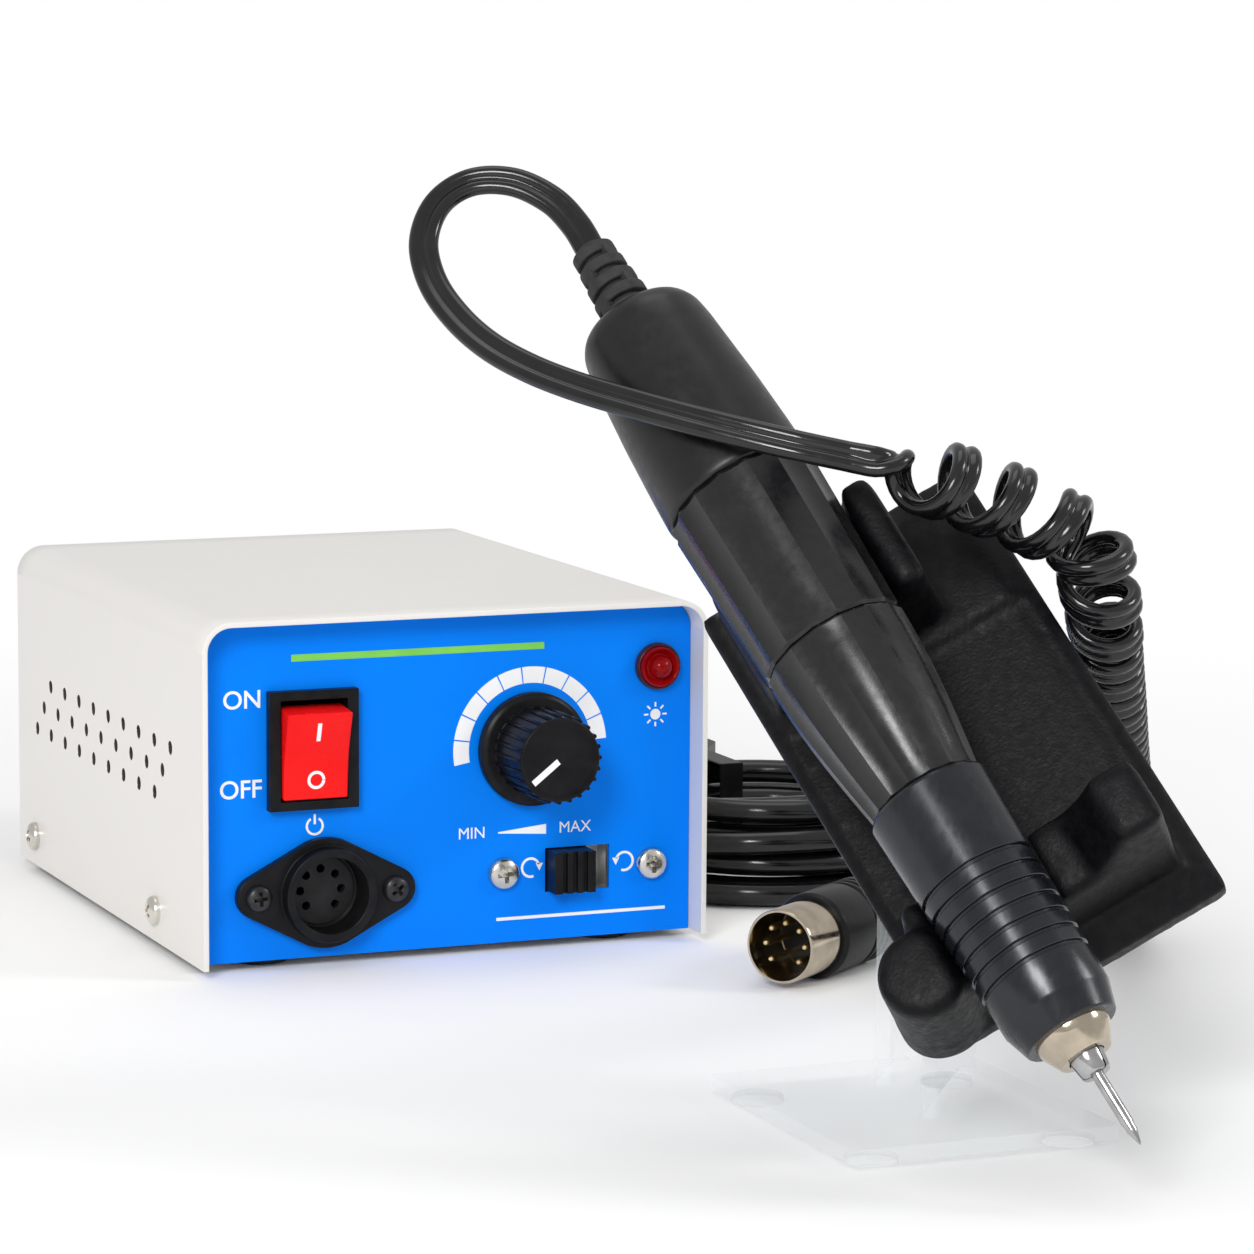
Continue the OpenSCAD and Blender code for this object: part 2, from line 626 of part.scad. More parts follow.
module pot_shaft() color([0.8, 0.8, 0.8]) on_panel(knob_x, knob_z)
  translate([0, 0, -behind - pot_l + 2]) cylinder(h = behind + pot_l - 2 + knob_h - 4.5, r = pot_shaft_r);

module potentiometer() color([0.6, 0.6, 0.6]) on_panel(knob_x, knob_z) difference() {
  union() {
    translate([0, 0, -behind - pot_l]) cylinder(h = pot_l, r = pot_r);
    translate([0, 0, -behind - 1]) cylinder(h = behind + 1 + bushing_h, r = bushing_r);
    cylinder(h = nut_h, r = nut_r, $fn = 6);
  }
  translate([0, 0, -behind - pot_l + 2 - play]) cylinder(h = behind + pot_l + bushing_h,
    r = pot_shaft_r + run);
}

module lamp_bezel() color([0.25, 0.04, 0.04]) on_panel(lamp_x, lamp_z) difference() {
  union() {
    rotate_extrude() polygon([[0, 0], [lamp_r, 0], [lamp_r, 1.4], [lamp_r - 0.4, 1.9], [0, 1.9]]);
    translate([0, 0, -lamp_l]) cylinder(h = lamp_l + 1, r = lamp_r - 1);
  }
  translate([0, 0, 0.6]) cylinder(h = 3, r = lamp_r - 0.6);
}

module lamp_lens() color([0.7, 0.02, 0.03]) on_panel(lamp_x, lamp_z) {
  lens_r = lamp_r - 0.65;
  dome_r = ((lens_r - 0.1) * (lens_r - 0.1) + dome_h * dome_h) / (2 * dome_h);
  translate([0, 0, 0.6]) cylinder(h = 1.3, r = lens_r);
  intersection() {
    translate([0, 0, 1.9 + dome_h - dome_r]) sphere(dome_r);
    translate([0, 0, 1.5]) cylinder(h = dome_h + 2, r = lens_r);
  }
}

// outline of the socket's flange: a round middle drawn out to its two screws
function flange_points(r, end_r, d) = let (a = acos((r - end_r) / d)) concat(
  [for (i = [0:8]) let (t = -a + 2 * a * i / 8) [d + end_r * cos(t), end_r * sin(t)]],
  [for (i = [1:7]) let (t = a + (180 - 2 * a) * i / 8) [r * cos(t), r * sin(t)]],
  [for (i = [0:8]) let (t = 180 - a + 2 * a * i / 8) [-d + end_r * cos(t), end_r * sin(t)]],
  [for (i = [1:7]) let (t = 180 + a + (180 - 2 * a) * i / 8) [r * cos(t), r * sin(t)]]);

module socket_shell() color([0.05, 0.05, 0.055]) on_panel(socket_x, socket_z) difference() {
  union() {
    linear_extrude(flange_t) polygon(flange_points(collar_r + 1.8, head_r + 1.4, socket_pitch / 2));
    translate([0, 0, -socket_back]) cylinder(h = socket_back + collar_h, r = collar_r);
  }
  translate([0, 0, collar_h - socket_depth]) cylinder(h = socket_depth + e, r = socket_r);
  translate([0, 0, -socket_back - e]) cylinder(h = socket_back + collar_h - socket_depth + 2 * e,
    r = insert_r + 0.03);
  for (m = [-1, 1]) translate([m * socket_pitch / 2, 0, -e]) cylinder(h = flange_t + 2 * e,
    r = shank_r + fit);
}

module socket_insert() color([0.09, 0.09, 0.095]) on_panel(socket_x, socket_z) difference() {
  translate([0, 0, -socket_back]) cylinder(h = socket_back + collar_h - socket_depth, r = insert_r);
  for (i = [0:6]) rotate(i * 45 - 45) translate([insert_r * 0.62, 0, collar_h - socket_depth - 6])
    cylinder(h = 6 + e, r = 0.9);
}

module socket_screws() color([0.12, 0.12, 0.13]) on_panel(socket_x, socket_z) for (m = [-1, 1])
  translate([m * socket_pitch / 2, 0, flange_t]) pan_screw(head_r - 0.4, head_h - 0.4, shank_r,
    flange_t + behind + 3);

module slide_body() color([0.85, 0.85, 0.83]) on_panel(slide_x, slide_z) difference() {
  union() {
    translate([-slide_pitch / 2 - 4, -window_h / 2 - 1.5, -behind - 1]) cube([slide_pitch + 8,
      window_h + 3, 1]);
    translate([-window_w / 2 - 3, -window_h / 2 - 2, -behind - slide_deep]) cube([window_w + 6,
      window_h + 4, slide_deep]);
  }
  translate([-window_w / 2 - 0.7, -window_h / 2 - 0.4, -behind - slide_deep + 1.5])
    cube([window_w + 1.4, window_h + 0.8, slide_deep]);
  for (m = [-1, 1]) translate([m * slide_pitch / 2, 0, -behind - 1 - e]) cylinder(h = 1 + 2 * e,
    r = shank_r + fit);
}

module slide_button() color([0.04, 0.04, 0.045]) on_panel(slide_x - slide_travel / 2, slide_z)
  difference() {
  union() {
    translate([-button_w / 2 - 0.7, -button_h / 2 - 0.4, -behind - slide_deep + 1.6])
      cube([button_w + 1.4, button_h + 0.8, slide_deep - 1.8]);
    translate([-button_w / 2, -button_h / 2, -behind - 2]) cube([button_w, button_h,
      behind + 2 + button_out]);
  }
  for (i = [-1, 0, 1]) translate([i * button_w / 4 - 0.5, -button_h, button_out - 1]) cube([1, 2
    * button_h, 2]);
}

module slide_screws() color([0.8, 0.79, 0.75]) on_panel(slide_x, slide_z) for (m = [-1, 1])
  translate([m * slide_pitch / 2, 0, 0]) pan_screw(head_r + 0.3, head_h, shank_r, behind + 4);

module transformer_core() color([0.35, 0.34, 0.33]) translate([core_x, core_y, floor_z]) difference() {
  cube([6 * core_leg, 2 * core_leg, 5 * core_leg]);
  for (m = [1, 4]) translate([m * core_leg, -e, core_leg]) cube([core_leg, 2 * core_leg + 2 * e, 3
    * core_leg]);
}

module transformer_coil() color([0.7, 0.42, 0.12]) translate([core_x, core_y, floor_z]) difference() {
  translate([core_leg + fit, -core_leg, core_leg + fit]) cube([4 * core_leg - 2 * fit, 4 * core_leg, 3
    * core_leg - 2 * fit]);
  translate([2 * core_leg - fit, -fit, 0]) cube([2 * core_leg + 2 * fit, 2 * core_leg + 2 * fit, 5
    * core_leg]);
}

module at_board_posts() for (x = [4, board_w - 4]) for (y = [4, board_d - 4])
  translate([board_x + x, board_y + y, floor_z]) children();

module circuit_board() color([0.05, 0.35, 0.15]) translate([board_x, board_y, floor_z + post_h])
  cube([board_w, board_d, board_t]);

module board_parts() color([0.15, 0.15, 0.3]) translate([board_x, board_y, floor_z + post_h + board_t]) {
  translate([board_w * 0.22, board_d * 0.4, 0]) cylinder(h = smoother_h, r = smoother_r);
  translate([board_w * 0.45, board_d * 0.6, 0]) cube([relay_w, relay_d, relay_h]);
  translate([board_w * 0.48, board_d * 0.2, 0]) difference() {
    cube([sink_w, relay_d, sink_h]);
    for (i = [0:3]) translate([sink_w * (0.14 + i * 0.21), -e, sink_h / 5])
      cube([sink_w * 0.11, relay_d + 2 * e, sink_h]);
  }
}

module fuse_holder() color([0.06, 0.06, 0.06]) translate([fuse_x, back_y, edge_z + fuse_z])
  rotate([-90, 0, 0]) {
    translate([0, 0, -24]) cylinder(h = 25, r = fuse_r);
    rotate_extrude() polygon([[0, 0], [fuse_r + 1.6, 0], [fuse_r + 1.6, 3], [fuse_r, recess - 2],
      [0, recess - 2]]);
  }

// Handpiece, along its axis from the bur's tip

module on_rest() translate([tip_x, tip_y, tip_z]) rotate([tilt - 90, 0, yaw]) children();

module cord_boot() color([0.05, 0.05, 0.05]) on_rest() rotate_extrude() polygon(concat(
  [[0, s_boot - 6], [boot_r + 1.6, s_boot - 6], [boot_r + 1.6, s_boot - 3], [boot_r, s_boot - 3]],
  [for (i = [0:boot_ribs - 1]) for (j = [0:3]) let (p = boot_l / boot_ribs, r = boot_r - i
    * boot_fall / boot_ribs)
    [j == 0 || j == 3 ? r - 0.8 : r, s_boot + i * p + (j == 0 ? 0 : j == 1 ? 0.2 * p : j == 2 ? 0.75
      * p : 0.95 * p)]],
  [[boot_r - boot_fall, s_end], [0, s_end]]));

module rear_cover() color([0.07, 0.07, 0.075]) on_rest() rotate_extrude() polygon([
  [can_r + 0.05, s_rear], [housing_r - 0.5, s_rear], [housing_r, s_rear + 0.8],
  [housing_r + (rear_r - housing_r) * 0.4, s_rear + rear_l * 0.45],
  [rear_r, s_boot - 8], [rear_r - 0.5, s_boot - 4], [rear_r - 1.7, s_boot - 1.4], [rear_r - 3.4, s_boot],
  [boot_r + 0.05, s_boot], [boot_r + 0.05, s_boot - 3], [rear_r - 4.4, s_boot - 3], [can_r + 0.05,
    s_boot - 12]]);

module flute_cuts(r0, s0, r1, s1, depth, r) for (i = [0:flutes - 1]) rotate(i * 360 / flutes)
  translate([r0 + r - depth, 0, s0]) rotate([0, atan2(r1 - r0, s1 - s0), 0]) translate([0, 0, -4])
    cylinder(h = s1 - s0 + 8, r = r);

module motor_housing() color([0.13, 0.13, 0.135]) on_rest() difference() {
  rotate_extrude() polygon([[core_r + 0.02, s_housing], [housing_tip_r - 0.4, s_housing],
    [housing_tip_r, s_housing + 0.5], [housing_r, s_rear - 0.8], [housing_r - 0.5, s_rear],
      [can_r + 0.03, s_rear],
    [can_r + 0.03, core_back], [core_r + 0.02, core_back]]);
  flute_cuts(housing_tip_r, s_housing, housing_r, s_rear, 0.5, 3.4);
}

module chuck_ring() color([0.13, 0.13, 0.135]) on_rest() difference() {
  rotate_extrude() polygon(concat([[core_r + run, s_ring]],
    [for (i = [0:8]) [ring_at(i / 8), s_ring + ring_l * i / 8]], [[core_r + run, s_ring + ring_l]]));
  flute_cuts(ring_tip_r, s_ring, housing_tip_r, s_ring + ring_l, 0.2, 3.2);
}

module front_sleeve() color([0.07, 0.075, 0.09]) on_rest() rotate_extrude() polygon(concat(
  [[nose_r - 1.2 + 0.02, s_sleeve], [sleeve_tip_r - 1.6, s_sleeve], [sleeve_tip_r, s_sleeve + chamfer_l]],
  [for (i = [0:sleeve_grooves - 1]) for (j = [0:3]) let (s = groove_front + i * groove_step + [0, 0.1,
    0.7, 0.8][j])
    [sleeve_at(s) - (j == 1 || j == 2 ? 0.5 : 0), s]],
  [[sleeve_r, s_ring - gap - 0.4], [sleeve_r - 0.4, s_ring - gap], [sleeve_bore, s_ring - gap],
    [sleeve_bore, core_front], [bearing_r + 0.02, core_front], [bearing_r + 0.02, s_sleeve + 7],
    [nose_r - 1.2 + 0.02, s_sleeve + 7]]));

module nose_cap() color([0.75, 0.7, 0.62]) on_rest() rotate_extrude() polygon([
  [spindle_r + play, s_nose], [spindle_r + 0.9, s_nose], [nose_r - 1.4, s_sleeve - 1.6],
  [nose_r, s_sleeve - 1.4], [nose_r, s_sleeve], [nose_r - 1.2, s_sleeve], [nose_r - 1.2, s_sleeve + 6.8],
  [spindle_r + play, s_sleeve + 6.8]]);

module core_tube() color([0.6, 0.6, 0.62]) on_rest() rotate_extrude() polygon([
  [bearing_r + 0.02, core_front], [sleeve_bore - 0.02, core_front], [sleeve_bore - 0.02, s_ring - gap],
  [core_r, s_ring - gap], [core_r, core_back], [bearing_r + 0.02, core_back]]);

module motor_can() color([0.5, 0.5, 0.52]) on_rest() rotate_extrude() polygon([
  [shaft_r + 2.5, can_front], [can_r, can_front], [can_r, can_front + can_l], [can_r - can_wall,
    can_front + can_l],
  [can_r - can_wall, can_front + 1], [shaft_r + 2.5, can_front + 1]]);

module magnets() color([0.2, 0.2, 0.22]) on_rest() difference() {
  translate([0, 0, arm_front - 1]) cylinder(h = arm_l + 2, r = can_r - can_wall - 0.02);
  translate([0, 0, arm_front - 2]) cylinder(h = arm_l + 4, r = armature_r + 0.5);
  for (m = [0, 1]) rotate(m * 180) translate([-2, 0, arm_front - 2]) cube([4, can_r, arm_l + 4]);
}

module brush_gear() color([0.3, 0.25, 0.2]) on_rest() translate([0, 0, comm_front - 1]) {
  difference() {
    cylinder(h = comm_l + 2, r = can_r - can_wall - 0.02);
    translate([0, 0, -e]) cylinder(h = comm_l + 2 + 2 * e, r = comm_r + 2);
  }
  for (m = [0, 1]) rotate(m * 180) translate([comm_r + play, -2, 2]) cube([3, 4, comm_l - 2]);
}

module bearings() color([0.8, 0.8, 0.82]) on_rest() {
  for (s = [bear_1, bear_2, bear_3]) translate([0, 0, s]) difference() {
    cylinder(h = bearing_l, r = bearing_r);
    translate([0, 0, -e]) cylinder(h = bearing_l + 2 * e, r = spindle_r + run);
  }
  translate([0, 0, bear_4]) difference() {
    cylinder(h = bearing_l, r = can_r - can_wall - 0.02);
    translate([0, 0, -e]) cylinder(h = bearing_l + 2 * e, r = shaft_r + run);
  }
}

module collet() color([0.72, 0.72, 0.74]) on_rest() difference() {
  translate([0, 0, s_collet]) cylinder(h = s_nose - s_collet + collet_deep, r = collet_r);
  translate([0, 0, s_collet - e]) cylinder(h = s_nose - s_collet + collet_deep + 2 * e, r = bur_r + 0.03);
}

module spindle() color([0.68, 0.68, 0.7]) on_rest() difference() {
  translate([0, 0, s_nose + 0.2]) cylinder(h = spindle_back - s_nose - 0.2, r = spindle_r);
  translate([0, 0, s_nose]) cylinder(h = collet_deep + 0.3, r = collet_r + 0.02);
  translate([0, 0, spindle_back - 6]) cylinder(h = 6 + e, r = shaft_r + 0.02);
}

module armature() color([0.65, 0.35, 0.15]) on_rest() {
  translate([0, 0, spindle_back - 5.9]) cylinder(h = shaft_back - spindle_back + 5.9, r = shaft_r);
  difference() {
    translate([0, 0, arm_front]) cylinder(h = arm_l, r = armature_r);
    for (i = [0:6]) rotate(i * 360 / 7) translate([armature_r - 2.4, -0.6, arm_front - e]) cube([4, 1.2,
      arm_l + 2 * e]);
  }
  translate([0, 0, comm_front]) cylinder(h = comm_l, r = comm_r);
}

module bur() color([0.8, 0.8, 0.82]) on_rest() rotate_extrude() polygon([[0, 0], [bur_r * 0.85, 2.6],
  [bur_r * 0.85, 4], [bur_r, 4.6], [bur_r, s_nose + collet_deep - 1], [0, s_nose + collet_deep - 1]]);

// Stand

module on_bed() on_rest() rotate(-lean) children();

// an open groove for the handpiece, so that it lifts straight out
module groove(r, s0, s1) translate([0, 0, s0]) linear_extrude(s1 - s0)
  polygon(concat([[-r, -40], [r, -40]], [for (i = [0:24]) [r * cos(7.5 * i), r * sin(7.5 * i)]]));

module stand_bed() color([0.06, 0.06, 0.062]) on_bed() difference() {
  union() {
    translate([-bed_left, bed_drop, bed_front]) cube([bed_w, bed_t, bed_rear - bed_front]);
    // front saddle: a low block across, a high right ear and a flared left lobe
    translate([saddle_left - bed_left, ear_low, saddle_1])
      cube([bed_w - saddle_left - saddle_right, bed_drop - ear_low + 2, saddle_1_l]);
    translate([bed_right - ear_in - ear_w, -ear_high, saddle_1 + 0.6])
      cube([ear_w, bed_drop + ear_high + 3, saddle_1_l - 1.2]);
    translate([1.2 - bed_left, -1, bed_front + 2]) cube([bed_left - 3, bed_drop + 3.6, saddle_1 - bed_front]);
    translate([1 - bed_left, bed_drop + bed_t / 2, bed_front + lobe_r - 1.2]) rotate([90, 0, 0])
      cylinder(h = bed_drop + bed_t / 2 + 0.6, r = lobe_r);
    // rear saddle, low on the left and high on the right
    translate([-rear_left, rear_left_low, saddle_2]) cube([2 * rear_left, bed_drop - rear_left_low + 2.7,
      bed_rear - saddle_2 - 1.5]);
    translate([1, -1.5, saddle_2 + 0.6]) cube([rear_ear - 1, bed_drop + 4.2, bed_rear - saddle_2 - 2.7]);
  }
  translate([tray_rim - bed_left, bed_drop - 1, saddle_1 + saddle_1_l + tray_rim])
    cube([bed_w - 2 * tray_rim, tray + 1, saddle_2 - saddle_1 - saddle_1_l - 2 * tray_rim]);
  groove(sleeve_at(saddle_1 + saddle_1_l) + play, bed_front - 8, saddle_1 + saddle_1_l + 1);
  groove(housing_at(bed_rear) + play, saddle_2 - 1, bed_rear + 1);
  translate([sleeve_r, -9, saddle_1 - 1]) cylinder(h = saddle_1_l + 2, r = 13);
}

// a gusset of the prop, from a place on the table right of and behind the tip
module gusset(place, length) translate([tip_x + place[0], tip_y + place[1], pad_h + prop_t / 2])
  rotate(slope_a) translate([0, -prop_t / 2, 0]) cube([length, prop_t, bed_rear]);

module stand_prop() color([0.85, 0.9, 0.92]) {
  translate([tip_x + base_left, tip_y + base_front, pad_h])
    cube([base_right - base_left, base_rear - base_front, prop_t]);
  difference() {
    union() {
      gusset(gusset_1, gusset_1_l);
      gusset(gusset_2, gusset_2_l);
    }
    on_bed() translate([-bed_rear, -2 * bed_rear, -bed_rear])
      cube([2 * bed_rear, 2 * bed_rear + bed_drop + bed_t + 0.02, 4 * bed_rear]);
  }
}

module stand_pads() color([0.8, 0.85, 0.87]) for (x = [base_left + pad_r + 2, base_right - pad_r - 2])
  for (y = [base_front + pad_r + 2, base_rear - pad_r - 2]) translate([tip_x + x, tip_y + y, 0])
    cylinder(h = pad_h, r = pad_r);

// Motor lead

module lead_rear() color([0.03, 0.03, 0.03]) {
  path = smooth(lead_points, 2);
  tube(path, [for (t = tangents(path)) cross(bed_up, t)], strand, strand / 2, 8);
}

module curly_cord() color([0.03, 0.03, 0.03]) {
  echo("curly cord: curls", curl_rings[len(curl_rings) - 1][1] / 360, "length mm",
    along(curl_path)[len(curl_path) - 1]);
  echo("curly cord: least gap to itself, mm", least(curl_path, 6 * strand) - 2 * strand);
  tube(curl_path, curl_sides, strand, strand / 2, 8);
}

module lead_tail() color([0.03, 0.03, 0.03]) {
  path = smooth(tail_points, 2);
  tube(path, [for (t = tangents(path)) cross([0, 0, 1], t)], strand, strand / 2, 8);
}

module on_plug() translate(plug_at) rotate([90, 0, plug_turn]) children();

module plug_boot() color([0.05, 0.05, 0.055]) on_plug() rotate_extrude() polygon(concat([[0, 0]],
  [for (i = [0:5]) for (j = [0:3]) let (p = plug_boot_l / 6, r = strand + 1.5 + i * 0.75)
    [j == 0 || j == 3 ? r - 0.8 : r, i * p + [0, 0.15, 0.75, 0.9][j] * p]],
  [[plug_r - 2.2, plug_boot_l], [0, plug_boot_l]]));

module plug_body() color([0.05, 0.05, 0.06]) on_plug() difference() {
  rotate_extrude() polygon(concat([[0, plug_boot_l], [plug_r - 1.2, plug_boot_l], [plug_r,
    plug_boot_l + 1.5]],
    [for (i = [0:2]) for (j = [0:3]) [plug_r - (j == 1 || j == 2 ? 0.6 : 0),
      plug_boot_l + 4 + i * 2.6 + [0, 0.2, 1.2, 1.4][j]]],
    [[plug_r, plug_front - 1], [plug_r - 0.6, plug_front], [0, plug_front]]));
  translate([0, 0, plug_front - 6]) cylinder(h = 6 + e, r = shell_r - 0.4 + 0.02);
}

module plug_shell() color([0.75, 0.68, 0.55]) on_plug() rotate_extrude() polygon([
  [shell_r - 1.2, plug_front - 6], [shell_r - 0.4, plug_front - 6], [shell_r - 0.4, plug_front],
  [shell_r, plug_front], [shell_r, plug_front + shell_l], [shell_r - 0.8, plug_front + shell_l],
  [shell_r - 0.8, plug_front - 1], [shell_r - 1.2, plug_front - 1]]);

module plug_pins() color([0.5, 0.48, 0.4]) on_plug() {
  translate([0, 0, plug_front - 6]) cylinder(h = 5, r = shell_r - 1.22);
  translate([0, 0, plug_front - 1.2]) cylinder(h = 4.2, r = shell_r - 0.82 - 0.4);
  for (i = [0:6]) rotate(i * 45 - 45) translate([insert_r * 0.62, 0, plug_front])
    cylinder(h = shell_l - 2, r = 0.75);
}

// Mains lead

module mains_gland() color([0.05, 0.05, 0.05]) translate([gland_x, back_y, edge_z + gland_z])
  rotate([-90, 0, 0]) rotate_extrude() polygon(concat([[0, -sheet - 4], [gland_r, -sheet - 4],
    [gland_r, 0], [gland_r + 2, 0], [gland_r + 2, 3]],
    [for (i = [0:4]) for (j = [0:3]) let (p = (gland_l - 3) / 5, r = gland_r - i * 0.22)
      [j == 0 || j == 3 ? r - 0.7 : r, 3 + i * p + [0.02, 0.15, 0.7, 0.85][j] * p]],
    [[mains_d / 2 + 0.6, gland_l], [0, gland_l]]));

module mains_lead() color([0.03, 0.03, 0.03]) {
  path = smooth(mains_points, 2);
  tube(path, [for (t = tangents(path)) [0, 0, 1]], mains_d / 2, mains_d / 2, 8);
}

module mains_coil() color([0.03, 0.03, 0.03]) {
  echo("mains coil: length mm", along(coil_path)[len(coil_path) - 1]);
  echo("mains coil: least gap to itself, mm", least(coil_path, 6 * mains_d) - mains_d);
  tube(coil_path, [for (p = coil_path) [0, 0, 1]], mains_d / 2, mains_d / 2, 6);
}

module mains_tail() color([0.03, 0.03, 0.03]) {
  path = smooth(mains_tail_points, 2);
  tube(path, [for (t = tangents(path)) [0, 0, 1]], mains_d / 2, mains_d / 2, 8);
}

module coil_tie() color([0.08, 0.08, 0.08]) translate([coil_x - 3, coil_y + coil_r - 2
  * coil_step - mains_d / 2 - 0.9, 0.03])
  difference() {
    cube([6, 2 * coil_step + mains_d + 1.7, 3 * coil_step + mains_d + 1.2]);
    translate([-e, 0.5, 0.47]) cube([6 + 2 * e, 2 * coil_step + mains_d + 0.7, 3
      * coil_step + mains_d + 0.25]);
  }

module mains_plug() color([0.05, 0.05, 0.05]) translate(mains_plug_at) {
  rotate([-90, 0, 0]) rotate_extrude() polygon([[0, 0], [mains_d / 2 + 0.9, 0], [5.4, 12], [0, 12]]);
  translate([0, 0, -6.8]) linear_extrude(13.6) polygon([[-6, 11], [6, 11], [15, 24], [15, 46], [-15, 46],
    [-15, 24]]);
}

module mains_pins() color([0.8, 0.8, 0.8]) translate(mains_plug_at) for (m = [-1, 1])
  translate([m * 9.5, 46, 0]) rotate([-90, 0, 0]) {
    cylinder(h = 17.5, r = 2);
    translate([0, 0, 17.4]) sphere(2);
  }

translate(-set_mid) cover();
translate(-set_mid) chassis();
translate(-set_mid) front_panel();
translate(-set_mid) cover_screws();
translate(-set_mid) feet();
translate(-set_mid) rocker_frame();
translate(-set_mid) rocker();
translate(-set_mid) speed_knob();
translate(-set_mid) knob_pointer();
translate(-set_mid) pot_shaft();
translate(-set_mid) potentiometer();
translate(-set_mid) lamp_bezel();
translate(-set_mid) lamp_lens();
translate(-set_mid) socket_shell();
translate(-set_mid) socket_insert();
translate(-set_mid) socket_screws();
translate(-set_mid) slide_body();
translate(-set_mid) slide_button();
translate(-set_mid) slide_screws();
translate(-set_mid) transformer_core();
translate(-set_mid) transformer_coil();
translate(-set_mid) circuit_board();
translate(-set_mid) board_parts();
translate(-set_mid) fuse_holder();
translate(-set_mid) mains_gland();
translate(-set_mid) mains_lead();
translate(-set_mid) mains_coil();
translate(-set_mid) mains_tail();
translate(-set_mid) coil_tie();
translate(-set_mid) mains_plug();
translate(-set_mid) mains_pins();
translate(-set_mid) cord_boot();
translate(-set_mid) rear_cover();
translate(-set_mid) motor_housing();
translate(-set_mid) chuck_ring();
translate(-set_mid) front_sleeve();
translate(-set_mid) nose_cap();
translate(-set_mid) core_tube();
translate(-set_mid) motor_can();
translate(-set_mid) magnets();
translate(-set_mid) brush_gear();
translate(-set_mid) bearings();
translate(-set_mid) collet();
translate(-set_mid) spindle();
translate(-set_mid) armature();
translate(-set_mid) bur();
translate(-set_mid) lead_rear();
translate(-set_mid) curly_cord();
translate(-set_mid) lead_tail();
translate(-set_mid) plug_boot();
translate(-set_mid) plug_body();
translate(-set_mid) plug_shell();
translate(-set_mid) plug_pins();
translate(-set_mid) stand_bed();
translate(-set_mid) stand_prop();
translate(-set_mid) stand_pads();
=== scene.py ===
"""Looks of a dental lab micromotor: control box, handpiece on its stand, motor lead and mains lead."""
import json
import math

import bmesh
import bpy
from mathutils import Matrix, Vector


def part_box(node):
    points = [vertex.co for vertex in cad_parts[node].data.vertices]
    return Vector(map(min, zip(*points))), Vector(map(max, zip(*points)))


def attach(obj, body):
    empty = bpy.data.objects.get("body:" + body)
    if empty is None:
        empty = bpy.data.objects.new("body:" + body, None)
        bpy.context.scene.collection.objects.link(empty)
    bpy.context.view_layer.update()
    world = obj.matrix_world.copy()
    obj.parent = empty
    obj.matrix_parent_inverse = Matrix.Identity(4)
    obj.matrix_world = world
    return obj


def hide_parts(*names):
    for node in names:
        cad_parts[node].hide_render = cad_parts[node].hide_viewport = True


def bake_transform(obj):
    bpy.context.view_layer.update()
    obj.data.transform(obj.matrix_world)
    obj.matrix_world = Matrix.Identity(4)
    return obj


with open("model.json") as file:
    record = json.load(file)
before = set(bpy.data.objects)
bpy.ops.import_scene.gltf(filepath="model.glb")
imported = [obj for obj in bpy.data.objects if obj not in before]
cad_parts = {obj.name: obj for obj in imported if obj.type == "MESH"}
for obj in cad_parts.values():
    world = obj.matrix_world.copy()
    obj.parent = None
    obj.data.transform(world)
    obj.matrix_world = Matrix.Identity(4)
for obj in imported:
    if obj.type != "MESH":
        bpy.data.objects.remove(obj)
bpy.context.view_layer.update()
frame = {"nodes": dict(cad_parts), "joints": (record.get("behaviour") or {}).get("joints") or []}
MM = 0.001


# Cover
# A hood of sheet steel, folded over the chassis with two round bends and enamelled off-white.
# Both sides are punched with staggered rows of vents, whose walls and the inside only have their primer; that
# primer is near-black, as painted shade.
cover_low, cover_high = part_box("cover")
CASE_W = cover_high.x - cover_low.x
CASE_H = cover_high.z - cover_low.z
CASE_MID = (cover_low.x + cover_high.x) / 2
SHEET = 1.2 * MM
BEND = 6.5 * MM
VENT_RADIUS = 1.5 * MM
VENT_PITCH = 11.7 * MM
VENT_STEP = 5.7 * MM
LIP = 8 * MM
COVER_Y = (cover_low.y, cover_low.y + LIP, cover_high.y - LIP, cover_high.y)
VENT_FIRST = Vector((CASE_MID, cover_low.y + 23.3 * MM, cover_low.z + 44.6 * MM))


def wire(tree, kind, settings=None, **inputs):
    """Adds a node, links or sets the inputs named, and gives its first output; in_0 is the first input."""
    node = tree.nodes.new(kind)
    for key, value in (settings or {}).items():
        setattr(node, key, value)
    for key, value in inputs.items():
        socket = node.inputs[int(key[3:])] if key.startswith("in_") else node.inputs[key.replace("_", " ")]
        if isinstance(value, bpy.types.NodeSocket):
            tree.links.new(value, socket)
        else:
            socket.default_value = value
    return node.outputs[0]


def finish_of(name, colour, roughness, metallic=0.0, coat=0.0, sheen_level=0.5):
    """A material whose even values sit on the shader's own sockets; sheen_level is its mirror share."""
    material = bpy.data.materials.new(name)
    material.use_nodes = True
    even = {"Base Color": (*colour, 1.0), "Roughness": roughness, "Metallic": metallic,
            "Specular IOR Level": sheen_level, "Coat Weight": coat, "Coat Roughness": 0.06}
    for socket, value in even.items():
        material.node_tree.nodes["Principled BSDF"].inputs[socket].default_value = value
    return material


def grain(material, scale, detail, stretch=(1, 1, 1)):
    """A noise on the piece's own coordinates, scale in features per metre."""
    tree = material.node_tree
    coords = tree.nodes.new("ShaderNodeTexCoord").outputs["Object"]
    place = wire(tree, "ShaderNodeMapping", Vector=coords, Scale=stretch)
    return wire(tree, "ShaderNodeTexNoise", Vector=place, Scale=scale, Detail=detail)


def feed(material, socket, source):
    """Links a node's result to one of the shader's sockets."""
    tree = material.node_tree
    tree.links.new(source, tree.nodes["Principled BSDF"].inputs[socket])


